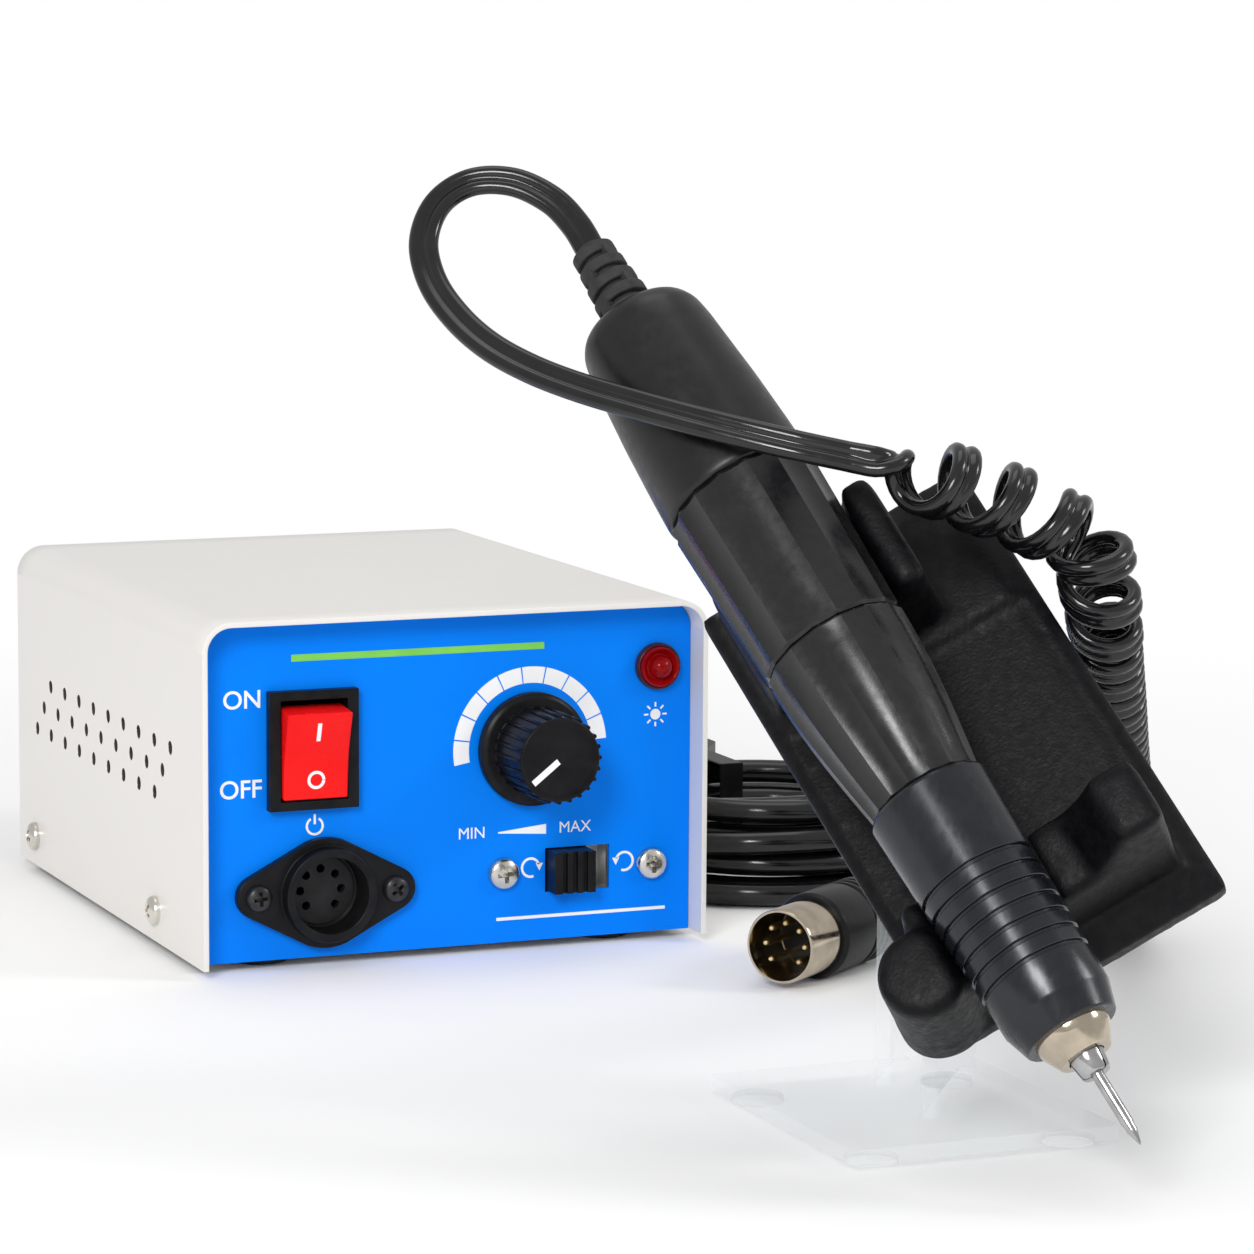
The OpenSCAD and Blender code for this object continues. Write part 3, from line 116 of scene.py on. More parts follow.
def tint(material, pattern, dark, light, low=0.35, high=0.65):
    """Two close colours, mixed by a grain; pattern holds its scale, detail and stretch."""
    ramp = wire(material.node_tree, "ShaderNodeValToRGB", Fac=grain(material, *pattern))
    for element, place, colour in zip(ramp.node.color_ramp.elements, (low, high), (dark, light)):
        element.position = place
        element.color = (*colour, 1.0)
    feed(material, "Base Color", ramp)


def gloss(material, pattern, smooth, rough):
    """Roughness between two values, by a grain."""
    span = wire(material.node_tree, "ShaderNodeMapRange", Value=grain(material, *pattern), From_Min=0.3,
                From_Max=0.7, To_Min=smooth, To_Max=rough)
    feed(material, "Roughness", span)


def relief(material, pattern, depth, strength):
    """A grain as fine relief, depth in metres."""
    bump = wire(material.node_tree, "ShaderNodeBump", Height=grain(material, *pattern), Distance=depth,
                Strength=strength)
    feed(material, "Normal", bump)


def node_tree(name, sockets):
    """An empty geometry tree with a mesh input and named inputs for its sizes, and its input sockets."""
    tree = bpy.data.node_groups.new(name, "GeometryNodeTree")
    tree.interface.new_socket("Geometry", in_out="INPUT", socket_type="NodeSocketGeometry")
    for label, kind in sockets.items():
        tree.interface.new_socket(label, in_out="INPUT", socket_type="NodeSocket" + kind)
    tree.interface.new_socket("Geometry", in_out="OUTPUT", socket_type="NodeSocketGeometry")
    return tree, tree.nodes.new("NodeGroupInput").outputs


def close_tree(tree, instances, finish):
    """Ends a tree in real faces with their material."""
    faces = wire(tree, "GeometryNodeRealizeInstances", Geometry=instances)
    done = wire(tree, "GeometryNodeSetMaterial", Geometry=faces, Material=finish)
    tree.links.new(done, tree.nodes.new("NodeGroupOutput").inputs[0])


def placed(name, data):
    """A new object in the scene."""
    made = bpy.data.objects.new(name, data)
    bpy.context.scene.collection.objects.link(made)
    return made


def baked(holder):
    """The finished shape of an object as a plain mesh; the object itself goes."""
    evaluated = holder.evaluated_get(bpy.context.evaluated_depsgraph_get())
    mesh = bpy.data.meshes.new_from_object(evaluated)
    bpy.data.objects.remove(holder)
    return mesh


def grow(tree, sizes, points=None):
    """Runs a tree once and gives back its result as a plain mesh."""
    holder = placed(tree.name, points or bpy.data.meshes.new(tree.name))
    modifier = holder.modifiers.new(tree.name, "NODES")
    modifier.node_group = tree
    for item in tree.interface.items_tree:
        if item.in_out == "INPUT" and item.name in sizes:
            modifier[item.identifier] = sizes[item.name]
    return baked(holder)


def vent_punches():
    """Tree of the punches that make the vents: rows of rods across the case."""
    tree, size = node_tree("vent_punches", {
        "Count": "Int", "Rows": "Int", "Pitch": "Float", "Row Step": "Float", "Radius": "Float",
        "Length": "Float", "Finish": "Material"})
    half = wire(tree, "ShaderNodeMath", {"operation": "MULTIPLY"}, in_0=size["Pitch"], in_1=0.5)
    down = wire(tree, "ShaderNodeMath", {"operation": "MULTIPLY"}, in_0=size["Row Step"], in_1=-1.0)
    along = wire(tree, "ShaderNodeCombineXYZ", Y=size["Pitch"])
    across = wire(tree, "ShaderNodeCombineXYZ", Y=half, Z=down)
    row = wire(tree, "GeometryNodeMeshLine", Count=size["Count"], Offset=along)
    rows = wire(tree, "GeometryNodeMeshLine", Count=size["Rows"], Offset=across)
    spread = wire(tree, "GeometryNodeInstanceOnPoints", Points=rows, Instance=row)
    places = wire(tree, "GeometryNodeRealizeInstances", Geometry=spread)
    rod = wire(tree, "GeometryNodeMeshCylinder", Vertices=20, Radius=size["Radius"], Depth=size["Length"])
    rods = wire(tree, "GeometryNodeInstanceOnPoints", Points=places, Instance=rod,
                Rotation=(0, math.radians(90), 0))
    close_tree(tree, rods, size["Finish"])
    return tree


def add_modifiers(holder, steps):
    """Adds modifiers to an object, each a type and its settings."""
    for kind, settings in steps:
        modifier = holder.modifiers.new(kind, kind)
        for key, value in settings.items():
            setattr(modifier, key, value)


def shaped(mesh, *steps):
    """The mesh after some modifiers, as a new plain mesh."""
    holder = placed(mesh.name, mesh)
    add_modifiers(holder, steps)
    return baked(holder)


def cut_by(mesh, cutter):
    """The mesh without the space of a cutter."""
    tool = placed("cutter", cutter)
    result = shaped(mesh, ("BOOLEAN", {"operation": "DIFFERENCE", "object": tool, "solver": "EXACT"}))
    bpy.data.objects.remove(tool)
    return result


def round_edges(mesh, width, segments=2, angle=35):
    """The mesh with its sharp edges rounded."""
    return shaped(mesh, ("BEVEL", {"width": width, "segments": segments, "limit_method": "ANGLE",
                                   "angle_limit": math.radians(angle), "use_clamp_overlap": True}))


def plain_mesh(name, form):
    """A mesh from bmesh, its faces pointing outwards."""
    bmesh.ops.remove_doubles(form, verts=form.verts, dist=1e-7)
    bmesh.ops.recalc_face_normals(form, faces=form.faces)
    mesh = bpy.data.meshes.new(name)
    form.to_mesh(mesh)
    form.free()
    return mesh


def piece(name, mesh, material, body, stands_for=(), crease=35):
    """A finished piece: smooth but for its creases, riding on a body, in place of the CAD nodes named."""
    mesh.materials.clear()
    mesh.materials.append(material)
    mesh.shade_smooth()
    mesh.set_sharp_from_angle(angle=math.radians(crease))
    made = placed(name, mesh)
    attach(made, body)
    if stands_for:
        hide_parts(*stands_for)
    return made


def arch(width, height, radius, steps=14):
    """Points of the folded sheet's outline, from the left foot over the top to the right foot."""
    turn = [math.radians(90 * i / steps) for i in range(steps + 1)]
    left = [(-width / 2 + radius - radius * math.cos(a), height - radius + radius * math.sin(a))
            for a in turn]
    return [(-width / 2, 0.0), *left, *[(-x, z) for x, z in reversed(left)], (width / 2, 0.0)]


def folded_cover():
    """The sheet as a closed hood, open in front, at the back and below."""
    form = bmesh.new()
    outlines = (arch(CASE_W, CASE_H, BEND), arch(CASE_W - 2 * SHEET, CASE_H - SHEET, BEND - SHEET))
    outside, inside = [[[form.verts.new((CASE_MID + x, y, cover_low.z + z)) for x, z in outline]
                        for y in COVER_Y] for outline in outlines]
    count = len(outside[0])
    for k in range(3):
        for i in range(count - 1):
            form.faces.new((outside[k][i], outside[k][i + 1], outside[k + 1][i + 1], outside[k + 1][i]))
            form.faces.new((inside[k][i + 1], inside[k][i], inside[k + 1][i], inside[k + 1][i + 1]))
        for i in (0, -1):
            form.faces.new((outside[k][i], outside[k + 1][i], inside[k + 1][i], inside[k][i]))
    for k in (0, 3):
        for i in range(count - 1):
            form.faces.new((outside[k][i], outside[k][i + 1], inside[k][i + 1], inside[k][i]))
    return plain_mesh("cover", form)


enamel = finish_of("off_white_enamel", (0.80, 0.778, 0.745), 0.36, coat=0.1, sheen_level=0.4)
tint(enamel, (9, 3), (0.788, 0.766, 0.733), (0.812, 0.79, 0.757), 0.25, 0.75)
gloss(enamel, (60, 3), 0.30, 0.38)
relief(enamel, (1500, 1), 0.00002, 0.2)
# Near-black primer: its darkness is painted shade for the inside of the case and the vent walls.
primer_and_painted_shade = finish_of("grey_primer", (0.045, 0.043, 0.04), 0.6)
tint(primer_and_painted_shade, (120, 3), (0.038, 0.036, 0.034), (0.055, 0.052, 0.048))
vents = grow(vent_punches(), {"Count": 9, "Rows": 3, "Pitch": VENT_PITCH, "Row Step": VENT_STEP,
                              "Radius": VENT_RADIUS, "Length": CASE_W + 10 * MM, "Finish": enamel})
vents.transform(Matrix.Translation(VENT_FIRST))
punched = round_edges(cut_by(folded_cover(), vents), 0.3 * MM)
hood = piece("enamelled_cover", punched, enamel, "unit", ["cover"])
hood.data.materials.append(primer_and_painted_shade)
SIDEWAYS = 0.999
OUTER_REACH = 20 * MM
# Faces that do not face outwards in the middle band, the inside and the vent walls, take the near-black
# primer as painted shade.
for face in hood.data.polygons:
    face.use_smooth = abs(face.normal.x) < SIDEWAYS
    from_axis = face.center - Vector((CASE_MID, face.center.y, cover_low.z + CASE_H / 2))
    if face.normal.dot(from_axis) < OUTER_REACH and COVER_Y[1] < face.center.y < COVER_Y[2]:
        face.material_index = 1


# Chassis, feet and the fuse holder
# A zinc-plated tray with a front and a rear wall, on four rubber feet. It closes the case's back and
# underside, and carries the fuse's screw cap beside the mains lead's gland.
WELD_GAP = 0.01 * MM
FLAT_WITHIN = math.radians(0.5)
SHARP_FROM = math.radians(32)


def dress(node, material, edge=0.0):
    """A CAD node's own mesh with a finish, welded into whole flats and with its sharp edges eased."""
    shown = frame["nodes"][node]
    mesh = shown.data
    mesh.materials.clear()
    mesh.materials.append(material)
    mesh.polygons.foreach_set("use_smooth", [edge > 0] * len(mesh.polygons))
    if edge:
        if "custom_normal" in mesh.attributes:
            mesh.attributes.remove(mesh.attributes["custom_normal"])
        add_modifiers(shown, (("WELD", {"merge_threshold": WELD_GAP}),
                              ("DECIMATE", {"decimate_type": "DISSOLVE", "angle_limit": FLAT_WITHIN}),
                              ("BEVEL", {"width": edge, "segments": 2, "limit_method": "ANGLE",
                                         "angle_limit": SHARP_FROM, "harden_normals": True})))


zinc = finish_of("zinc_plate", (0.62, 0.63, 0.64), 0.38, metallic=1.0)
tint(zinc, (45, 5), (0.52, 0.53, 0.55), (0.70, 0.70, 0.70))
gloss(zinc, (90, 4, (1, 12, 1)), 0.3, 0.48)
rubber = finish_of("black_rubber", (0.018, 0.018, 0.018), 0.72)
tint(rubber, (500, 3), (0.014, 0.014, 0.014), (0.026, 0.026, 0.026))
relief(rubber, (1600, 2), 0.00006, 0.5)
dress("chassis", zinc)
for node in ("feet", "fuse_holder"):
    dress(node, rubber, 0.3 * MM)


# Transformer, circuit board and the speed control's works
# They sit on the chassis inside the case, and only show as dark shapes through the vents.
laminate = finish_of("transformer_iron", (0.20, 0.19, 0.18), 0.5, metallic=0.7)
tint(laminate, (900, 2, (0.05, 1, 0.05)), (0.13, 0.12, 0.115), (0.26, 0.25, 0.24))
winding = finish_of("taped_winding", (0.62, 0.38, 0.10), 0.42)
tint(winding, (300, 3, (0.2, 0.2, 1)), (0.50, 0.29, 0.07), (0.70, 0.44, 0.13))
board = finish_of("green_board", (0.02, 0.16, 0.06), 0.35)
tint(board, (180, 5), (0.015, 0.12, 0.045), (0.03, 0.20, 0.08))
chips = finish_of("board_components", (0.03, 0.03, 0.05), 0.45)
tint(chips, (120, 3), (0.02, 0.02, 0.035), (0.05, 0.05, 0.075))
dress("transformer_core", laminate)
dress("transformer_coil", winding, 1.5 * MM)
dress("circuit_board", board)
dress("board_parts", chips, 0.4 * MM)
for node in ("potentiometer", "pot_shaft"):
    dress(node, zinc, 0.2 * MM)


# Front panel
# A flat plate with an azure film, recessed behind the cover's front edge. It is screen-printed in white
# and green: the words of the switch and of the knob, plain symbols and two pinstripes.
panel_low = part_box("front_panel")[0]
INK = 0.05 * MM
CAPITALS = 0.73


def on_panel(x, z, out=0.0):
    """Frame of a thing on the panel, in millimetres from the case's middle and the cover's lower edge."""
    place = Vector((CASE_MID + x * MM, panel_low.y - out * MM, cover_low.z + z * MM))
    return Matrix.Translation(place) @ Matrix.Rotation(math.radians(90), 4, "X")


def plate(name, outlines, low, high):
    """Flat shapes with a thickness, from outlines in the XY plane."""
    form = bmesh.new()
    for outline in outlines:
        bottom = [form.verts.new((x, y, low)) for x, y in outline]
        top = [form.verts.new((x, y, high)) for x, y in outline]
        form.faces.new(bottom[::-1])
        form.faces.new(top)
        for i in range(len(outline)):
            j = (i + 1) % len(outline)
            form.faces.new((bottom[i], bottom[j], top[j], top[i]))
    return plain_mesh(name, form)


def arc(radius, first, last, steps, centre=(0.0, 0.0)):
    """Points on an arc, angles in degrees."""
    turn = [math.radians(first + (last - first) * i / steps) for i in range(steps + 1)]
    return [(centre[0] + radius * math.cos(a), centre[1] + radius * math.sin(a)) for a in turn]


def band(inner, outer, first, last, steps):
    """Outline of a piece of a ring."""
    return arc(outer, first, last, steps) + arc(inner, last, first, steps)


def box_outline(width, height, x=0.0, y=0.0):
    """Corners of a rectangle about a point."""
    return [(x - width / 2, y - height / 2), (x + width / 2, y - height / 2),
            (x + width / 2, y + height / 2), (x - width / 2, y + height / 2)]


def scaled(outline):
    """An outline or a profile from millimetres to metres."""
    return [(x * MM, y * MM) for x, y in outline]


def lettering(text, height, bolder=0.0):
    """Words as a thin mesh, centred on the origin, capitals as high as given."""
    words = bpy.data.curves.new(text, "FONT")
    words.body = text
    words.size = height / CAPITALS
    words.align_x = "CENTER"
    words.align_y = "CENTER"
    words.extrude = INK / 2
    words.offset = height * bolder
    mesh = baked(placed(text, words))
    mesh.transform(Matrix.Translation((0, 0, INK / 2)))
    return mesh


def joined(name, meshes):
    """One mesh of several, each with its frame."""
    form = bmesh.new()
    for mesh, place in meshes:
        mesh.transform(place)
        form.from_mesh(mesh)
    made = bpy.data.meshes.new(name)
    form.to_mesh(made)
    form.free()
    return made


def set_round():
    """Tree that sets a shape round an axis, at even steps of angle."""
    tree, size = node_tree("set_round", {
        "Shape": "Object", "Count": "Int", "First": "Float", "Step": "Float", "Finish": "Material"})
    shape = wire(tree, "GeometryNodeObjectInfo", Object=size["Shape"])
    geometry = shape.node.outputs["Geometry"]
    places = wire(tree, "GeometryNodeMeshLine", Count=size["Count"], Offset=(0, 0, 0))
    index = wire(tree, "GeometryNodeInputIndex")
    turn = wire(tree, "ShaderNodeMath", {"operation": "MULTIPLY_ADD"}, in_0=index, in_1=size["Step"],
                in_2=size["First"])
    spun = wire(tree, "ShaderNodeCombineXYZ", Z=turn)
    copies = wire(tree, "GeometryNodeInstanceOnPoints", Points=places, Instance=geometry, Rotation=spun)
    close_tree(tree, copies, size["Finish"])
    return tree


ROUND = set_round()


def ring_of(shape, count, first, step, material):
    """Copies of a mesh round its Z axis, angles in degrees."""
    holder = placed(shape.name, shape)
    mesh = grow(ROUND, {"Shape": holder, "Count": count, "First": math.radians(first),
                        "Step": math.radians(step), "Finish": material})
    bpy.data.objects.remove(holder)
    return mesh


azure = finish_of("azure_print", (0.0, 0.215, 0.93), 0.42, sheen_level=0.08)
tint(azure, (22, 3), (0.0, 0.205, 0.90), (0.0, 0.225, 0.96), 0.25, 0.75)
gloss(azure, (400, 2, (0.05, 1, 1)), 0.36, 0.46)
relief(azure, (900, 2), 0.00002, 0.2)
dress("front_panel", azure)

ink = finish_of("white_ink", (0.92, 0.925, 0.94), 0.5, sheen_level=0.3)
tint(ink, (120, 3), (0.90, 0.905, 0.92), (0.94, 0.945, 0.96))
KNOB_AT = (18.8, 42.8)
flat = Matrix.Identity(4)


def mark(name, *outlines):
    """A flat mark of ink, from outlines in millimetres."""
    return plate(name, [scaled(outline) for outline in outlines], 0.0, INK)


dial = ring_of(mark("dial_mark", band(14.3, 17.9, -8.8, 8.8, 6)), 10, 181, -18.7, ink)
power = mark("power_mark", band(1.55, 2.05, 120, 420, 24), box_outline(0.5, 2.2, 0, 1.5))
ramp = mark("ramp_mark", [(-5.6, -0.35), (5.6, -1.1), (5.6, 1.1), (-5.6, -0.05)])
rays = ring_of(mark("ray", box_outline(1.0, 0.4, 2.2, 0)), 8, 0, 45, ink)
bulb = mark("bulb", arc(1.2, 0, 345, 23))
lamp_mark = joined("lamp_mark", [(rays, flat), (bulb, flat)])


def curved_arrow(name, hand):
    """An arrow bent round, for a direction of turning; hand is 1 for clockwise."""
    bow = [(x * hand, y) for x, y in band(1.75, 2.3, 20, 290, 20)]
    head = [(x * hand, y) for x, y in [(1.2, 0.9), (2.9, 0.9), (2.05, -0.75)]]
    return mark(name, bow, head)


marks = joined("panel_marks", [
    (dial, on_panel(*KNOB_AT)),
    (lettering("ON", 4.0 * MM, 0.014), on_panel(-47.0, 56.6)),
    (lettering("OFF", 4.0 * MM, 0.014), on_panel(-47.4, 37.3)),
    (power, on_panel(-30.8, 28.6)),
    (lettering("MIN", 2.6 * MM), on_panel(5.2, 24.6)),
    (ramp, on_panel(17.0, 24.6)),
    (lettering("MAX", 2.6 * MM), on_panel(29.4, 24.6)),
    (lamp_mark, on_panel(48.4, 48.6)),
    (curved_arrow("turn_right", 1), on_panel(19.0, 16.2)),
    (curved_arrow("turn_left", -1), on_panel(41.2, 16.2)),
    (mark("low_stripe", box_outline(40, 0.7)), on_panel(31, 5.2)),
])
piece("panel_print", marks, ink, "unit")
leaf = finish_of("green_ink", (0.20, 0.62, 0.08), 0.5)
tint(leaf, (90, 3), (0.18, 0.58, 0.07), (0.22, 0.66, 0.09))
stripe = mark("upper_stripe", box_outline(58, 1.5))
stripe.transform(on_panel(-7, 65.2))
piece("upper_stripe", stripe, leaf, "unit")


# Screws
# Pan heads with a cross recess, nickel-plated on the cover and the slide switch, blackened on the socket.
# Each group is one tree that sets the head at its points, every head turned by chance as driven.
def lathe(profile, steps, shape=None, closed=False):
    """A turned form about Z from (radius, height) pairs; shape may change the radius by its angle."""
    form = bmesh.new()
    rings = []
    for radius, height in profile:
        if radius < 1e-7:
            rings.append([form.verts.new((0.0, 0.0, height))])
            continue
        ring = []
        for i in range(steps):
            angle = 2 * math.pi * i / steps
            r = shape(angle, radius, height) if shape else radius
            ring.append(form.verts.new((r * math.cos(angle), r * math.sin(angle), height)))
        rings.append(ring)
    if closed:
        rings.append(rings[0])
    for low, high in zip(rings, rings[1:]):
        for i in range(steps):
            j = (i + 1) % steps
            corners = [low[i % len(low)], low[j % len(low)], high[j % len(high)], high[i % len(high)]]
            corners = list(dict.fromkeys(corners))
            if len(corners) > 2:
                form.faces.new(corners)
    return form


def eased(profile, amount, steps=3):
    """A profile with the corners between its ends rounded, each by no more than its edges allow."""
    points = [Vector(p) for p in profile]
    result = [profile[0]]
    for before, corner, after in zip(points, points[1:], points[2:]):
        a = corner + (before - corner).normalized() * min(amount, (before - corner).length * 0.45)
        b = corner + (after - corner).normalized() * min(amount, (after - corner).length * 0.45)
        for i in range(steps + 1):
            t = i / steps
            result.append(tuple((1 - t) ** 2 * a + 2 * t * (1 - t) * corner + t * t * b))
    return [*result, profile[-1]]


def cross_head():
    """A screw head of radius 1 with a cross recess, standing on the XY plane."""
    dome = eased([(1.0, 0.0), (1.0, 0.22), (0.88, 0.46), (0.5, 0.62), (0.0, 0.66)], 0.12)
    head = plain_mesh("screw_head", lathe([(0.0, 0.0), *dome], 40))
    for turn in (0, 90):
        groove = plate("cross_groove", [box_outline(1.3, 0.28)], 0.1, 0.8)
        for corner in groove.vertices:
            corner.co.x *= 0.4 if corner.co.z < 0.5 else 1.0
        groove.transform(Matrix.Rotation(math.radians(turn), 4, "Z"))
        head = cut_by(head, groove)
    return head


def screws_at():
    """Tree that sets a screw head at each point, turned by chance about its own axis."""
    tree, size = node_tree("screws_at", {
        "Head": "Object", "Radius": "Float", "Aim": "Vector", "Seed": "Int", "Finish": "Material"})
    shape = wire(tree, "GeometryNodeObjectInfo", Object=size["Head"])
    heads = wire(tree, "GeometryNodeInstanceOnPoints", Points=size["Geometry"],
                 Instance=shape.node.outputs["Geometry"], Rotation=size["Aim"], Scale=size["Radius"])
    chance = wire(tree, "FunctionNodeRandomValue", {"data_type": "FLOAT"}, Seed=size["Seed"])
    chance.node.inputs[3].default_value = math.tau
    turn = wire(tree, "ShaderNodeCombineXYZ", Z=chance.node.outputs[1])
    turned = wire(tree, "GeometryNodeRotateInstances", Instances=heads, Rotation=turn)
    close_tree(tree, turned, size["Finish"])
    return tree


nickel = finish_of("nickel_plate", (0.72, 0.69, 0.63), 0.24, metallic=1.0)
tint(nickel, (90, 4), (0.62, 0.59, 0.54), (0.78, 0.75, 0.69))
gloss(nickel, (300, 3), 0.18, 0.32)
blackened = finish_of("blackened_steel", (0.035, 0.035, 0.037), 0.32, metallic=0.6)
tint(blackened, (300, 4), (0.025, 0.025, 0.027), (0.05, 0.05, 0.052))
head_shape = placed("screw_head", cross_head())
SCREWS = screws_at()


def screw_set(name, places, aim, radius, material, seed):
    """Screw heads at points, all aimed the same way, as one mesh."""
    points = bpy.data.meshes.new(name)
    points.from_pydata(places, [], [])
    return grow(SCREWS, {"Head": head_shape, "Radius": radius, "Aim": aim, "Seed": seed,
                         "Finish": material}, points)


screw_low, screw_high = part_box("cover_screws")
SIDE_R = 3.3 * MM
side_y = (screw_low.y + SIDE_R, screw_high.y - SIDE_R)
side_z = (screw_low.z + screw_high.z) / 2
side_heads = []
for side, seed in ((-1, 3), (1, 8)):
    wall = CASE_MID + side * CASE_W / 2
    side_heads.append((screw_set("side_screws", [(wall, y, side_z) for y in side_y],
                                 (0.0, side * math.pi / 2, 0.0), SIDE_R, nickel, seed), flat))
side_heads = joined("cover_screws", side_heads)
piece("cover_screw_heads", side_heads, nickel, "unit", ["cover_screws"])
SLIDE_AT = (30.0, 15.4)
SOCKET_AT = (-28.8, 14.2)
slide_heads = screw_set("slide_screws",
                        [on_panel(SLIDE_AT[0] + x, SLIDE_AT[1]).translation for x in (-17.5, 17.5)],
                        (math.pi / 2, 0.0, 0.0), 3.6 * MM, nickel, 5)
piece("slide_screw_heads", slide_heads, nickel, "unit", ["slide_screws"])
socket_heads = screw_set("socket_screws",
                         [on_panel(SOCKET_AT[0] + x, SOCKET_AT[1], 2.5).translation for x in (-15.5, 15.5)],
                         (math.pi / 2, 0.0, 0.0), 2.9 * MM, blackened, 12)
piece("socket_screw_heads", socket_heads, blackened, "unit", ["socket_screws"])
bpy.data.objects.remove(head_shape)


# Power switch
# A rocker of glossy red plastic that tilts in a black snap-in frame, with its two marks moulded in white.
# It rests with the lower end pressed, so its upper end stands proud.
gloss_black = finish_of("moulded_black", (0.006, 0.006, 0.007), 0.36, sheen_level=0.18)
tint(gloss_black, (200, 3), (0.004, 0.004, 0.005), (0.009, 0.009, 0.010))
relief(gloss_black, (2200, 2), 0.00002, 0.4)
dress("rocker_frame", gloss_black, 0.45 * MM)
ROCKER_AT = (-31.6, 45.5)
ROCKER_W, ROCKER_H, ROCKER_OUT = 14.5, 19.4, 5.6
ROCKER_FOOT, ROCKER_TAPER, ROCKER_HOLLOW = -2.8, 0.7, 1.25
ROCKER_REST = 11.0
MARK_UP, MARK_OUT, MARK_TILT = 5.4, 5.12, 7
rocker_hinge = on_panel(*ROCKER_AT) @ Matrix.Translation((0, 0, -0.5 * MM)) \
    @ Matrix.Rotation(math.radians(ROCKER_REST), 4, "X")
key_face = [(ROCKER_H / 2 * t, ROCKER_OUT - 1 + abs(t) ** ROCKER_HOLLOW)
            for t in [i / 10 - 1 for i in range(21)]]
key_side = [(ROCKER_H / 2 - ROCKER_TAPER, ROCKER_FOOT), *reversed(key_face),
            (-ROCKER_H / 2 + ROCKER_TAPER, ROCKER_FOOT)]
key_form = bmesh.new()
ends = [[key_form.verts.new((x * ROCKER_W / 2 * MM, y * MM, z * MM)) for y, z in key_side] for x in (-1, 1)]
for i in range(len(key_side)):
    j = (i + 1) % len(key_side)
    key_form.faces.new((ends[0][i], ends[0][j], ends[1][j], ends[1][i]))
key_form.faces.new(ends[0][::-1])
key_form.faces.new(ends[1])
key = round_edges(plain_mesh("rocker", key_form), 0.4 * MM, 3, 50)
key.transform(rocker_hinge)
signal_red = finish_of("signal_red", (0.95, 0.008, 0.008), 0.25, sheen_level=0.16)
tint(signal_red, (60, 3), (0.89, 0.006, 0.006), (0.96, 0.010, 0.010))
gloss(signal_red, (400, 2), 0.20, 0.30)
piece("red_rocker", key, signal_red, "rocker", ["rocker"])
bar = plate("on_mark", [scaled(box_outline(0.9, 4.2))], -0.1 * MM, 0.04 * MM)
loop = plate("off_mark", [scaled(band(1.35, 2.0, 0, 355, 36))], -0.1 * MM, 0.04 * MM)
switch_marks = joined("rocker_marks", [
    (shape, rocker_hinge @ Matrix.Translation((0, end * MARK_UP * MM, MARK_OUT * MM))
     @ Matrix.Rotation(math.radians(end * MARK_TILT), 4, "X")) for shape, end in ((bar, 1), (loop, -1))])
piece("rocker_marks", switch_marks, ink, "rocker")


# Speed knob
# A push-on knob of moulded black plastic: a flat skirt over the panel, a ribbed grip and a flat cap
# with a white line let into it. It rests with the line at the lower left.
knob_skin = finish_of("knob_black", (0.006, 0.006, 0.007), 0.34, sheen_level=0.16)
tint(knob_skin, (260, 3), (0.004, 0.004, 0.005), (0.009, 0.009, 0.010))
relief(knob_skin, (2600, 2), 0.00002, 0.4)
KNOB_H = 18.0
KNOB_R = 9.8
grip = eased([(0.0, 0.6), (12.5, 0.6), (12.5, 2.9), (11.4, 3.6), (KNOB_R - 0.5, 3.6),
              (KNOB_R - 0.62, KNOB_H - 0.3), (KNOB_R - 1.1, KNOB_H), (KNOB_R - 2.2, KNOB_H - 0.25),
              (0.0, KNOB_H - 0.25)], 0.35)
knob_body = plain_mesh("knob_body", lathe(scaled(grip), 96))
rib_outline = [(KNOB_R - 1.4, -0.5), (KNOB_R - 0.4, -0.5), *arc(0.5, -70, 70, 6, (KNOB_R - 0.48, 0)),
               (KNOB_R - 0.4, 0.5), (KNOB_R - 1.4, 0.5)]
rib = round_edges(plate("knob_rib", [scaled(rib_outline)], 3.4 * MM, (KNOB_H - 0.35) * MM), 0.3 * MM, 2, 50)
ribs = ring_of(rib, 24, 0, 15, knob_skin)
knob = joined("speed_knob", [(knob_body, flat), (ribs, flat)])
knob.transform(on_panel(*KNOB_AT))
piece("ribbed_knob", knob, knob_skin, "speed_control", ["speed_knob"], 40)
pointer = plate("knob_line", [scaled(box_outline(KNOB_R - 1.6, 1.4, 4.6, 0))], (KNOB_H - 0.6) * MM,
                (KNOB_H - 0.18) * MM)
pointer.transform(on_panel(*KNOB_AT) @ Matrix.Rotation(math.radians(218), 4, "Z"))
piece("knob_line", pointer, ink, "speed_control", ["knob_pointer"])


# Pilot lamp
# A small neon lamp, pushed into the panel from the front. Its red lens is a dish with a dome in its
# middle, moulded in one, and a thin dark rim holds it.
LAMP_AT = (48.6, 59.4)
lamp_skin = finish_of("lamp_red", (0.27, 0.002, 0.003), 0.10, sheen_level=0.15)
tint(lamp_skin, (120, 3), (0.22, 0.001, 0.002), (0.32, 0.003, 0.004))
rim_skin = finish_of("lamp_rim", (0.05, 0.008, 0.010), 0.25)
tint(rim_skin, (200, 3), (0.04, 0.006, 0.008), (0.065, 0.010, 0.012))
rim_side = eased([(4.62, 0.5), (5.2, 0.0), (5.2, 1.35), (4.9, 1.85), (4.62, 1.85), (4.55, 0.8)], 0.2)
rim = plain_mesh("lamp_bezel", lathe(scaled(rim_side), 64, closed=True))
rim.transform(on_panel(*LAMP_AT))
piece("lamp_rim", rim, rim_skin, "unit", ["lamp_bezel"])
DOME_R, DOME_LOW = 2.6, 2.2
lens_side = [(0.0, 0.7), (4.5, 0.7), (4.5, 2.2), (4.3, 2.65), (4.05, 2.7), (3.8, 2.5), (2.9, 1.7), (2.7, 1.8)]
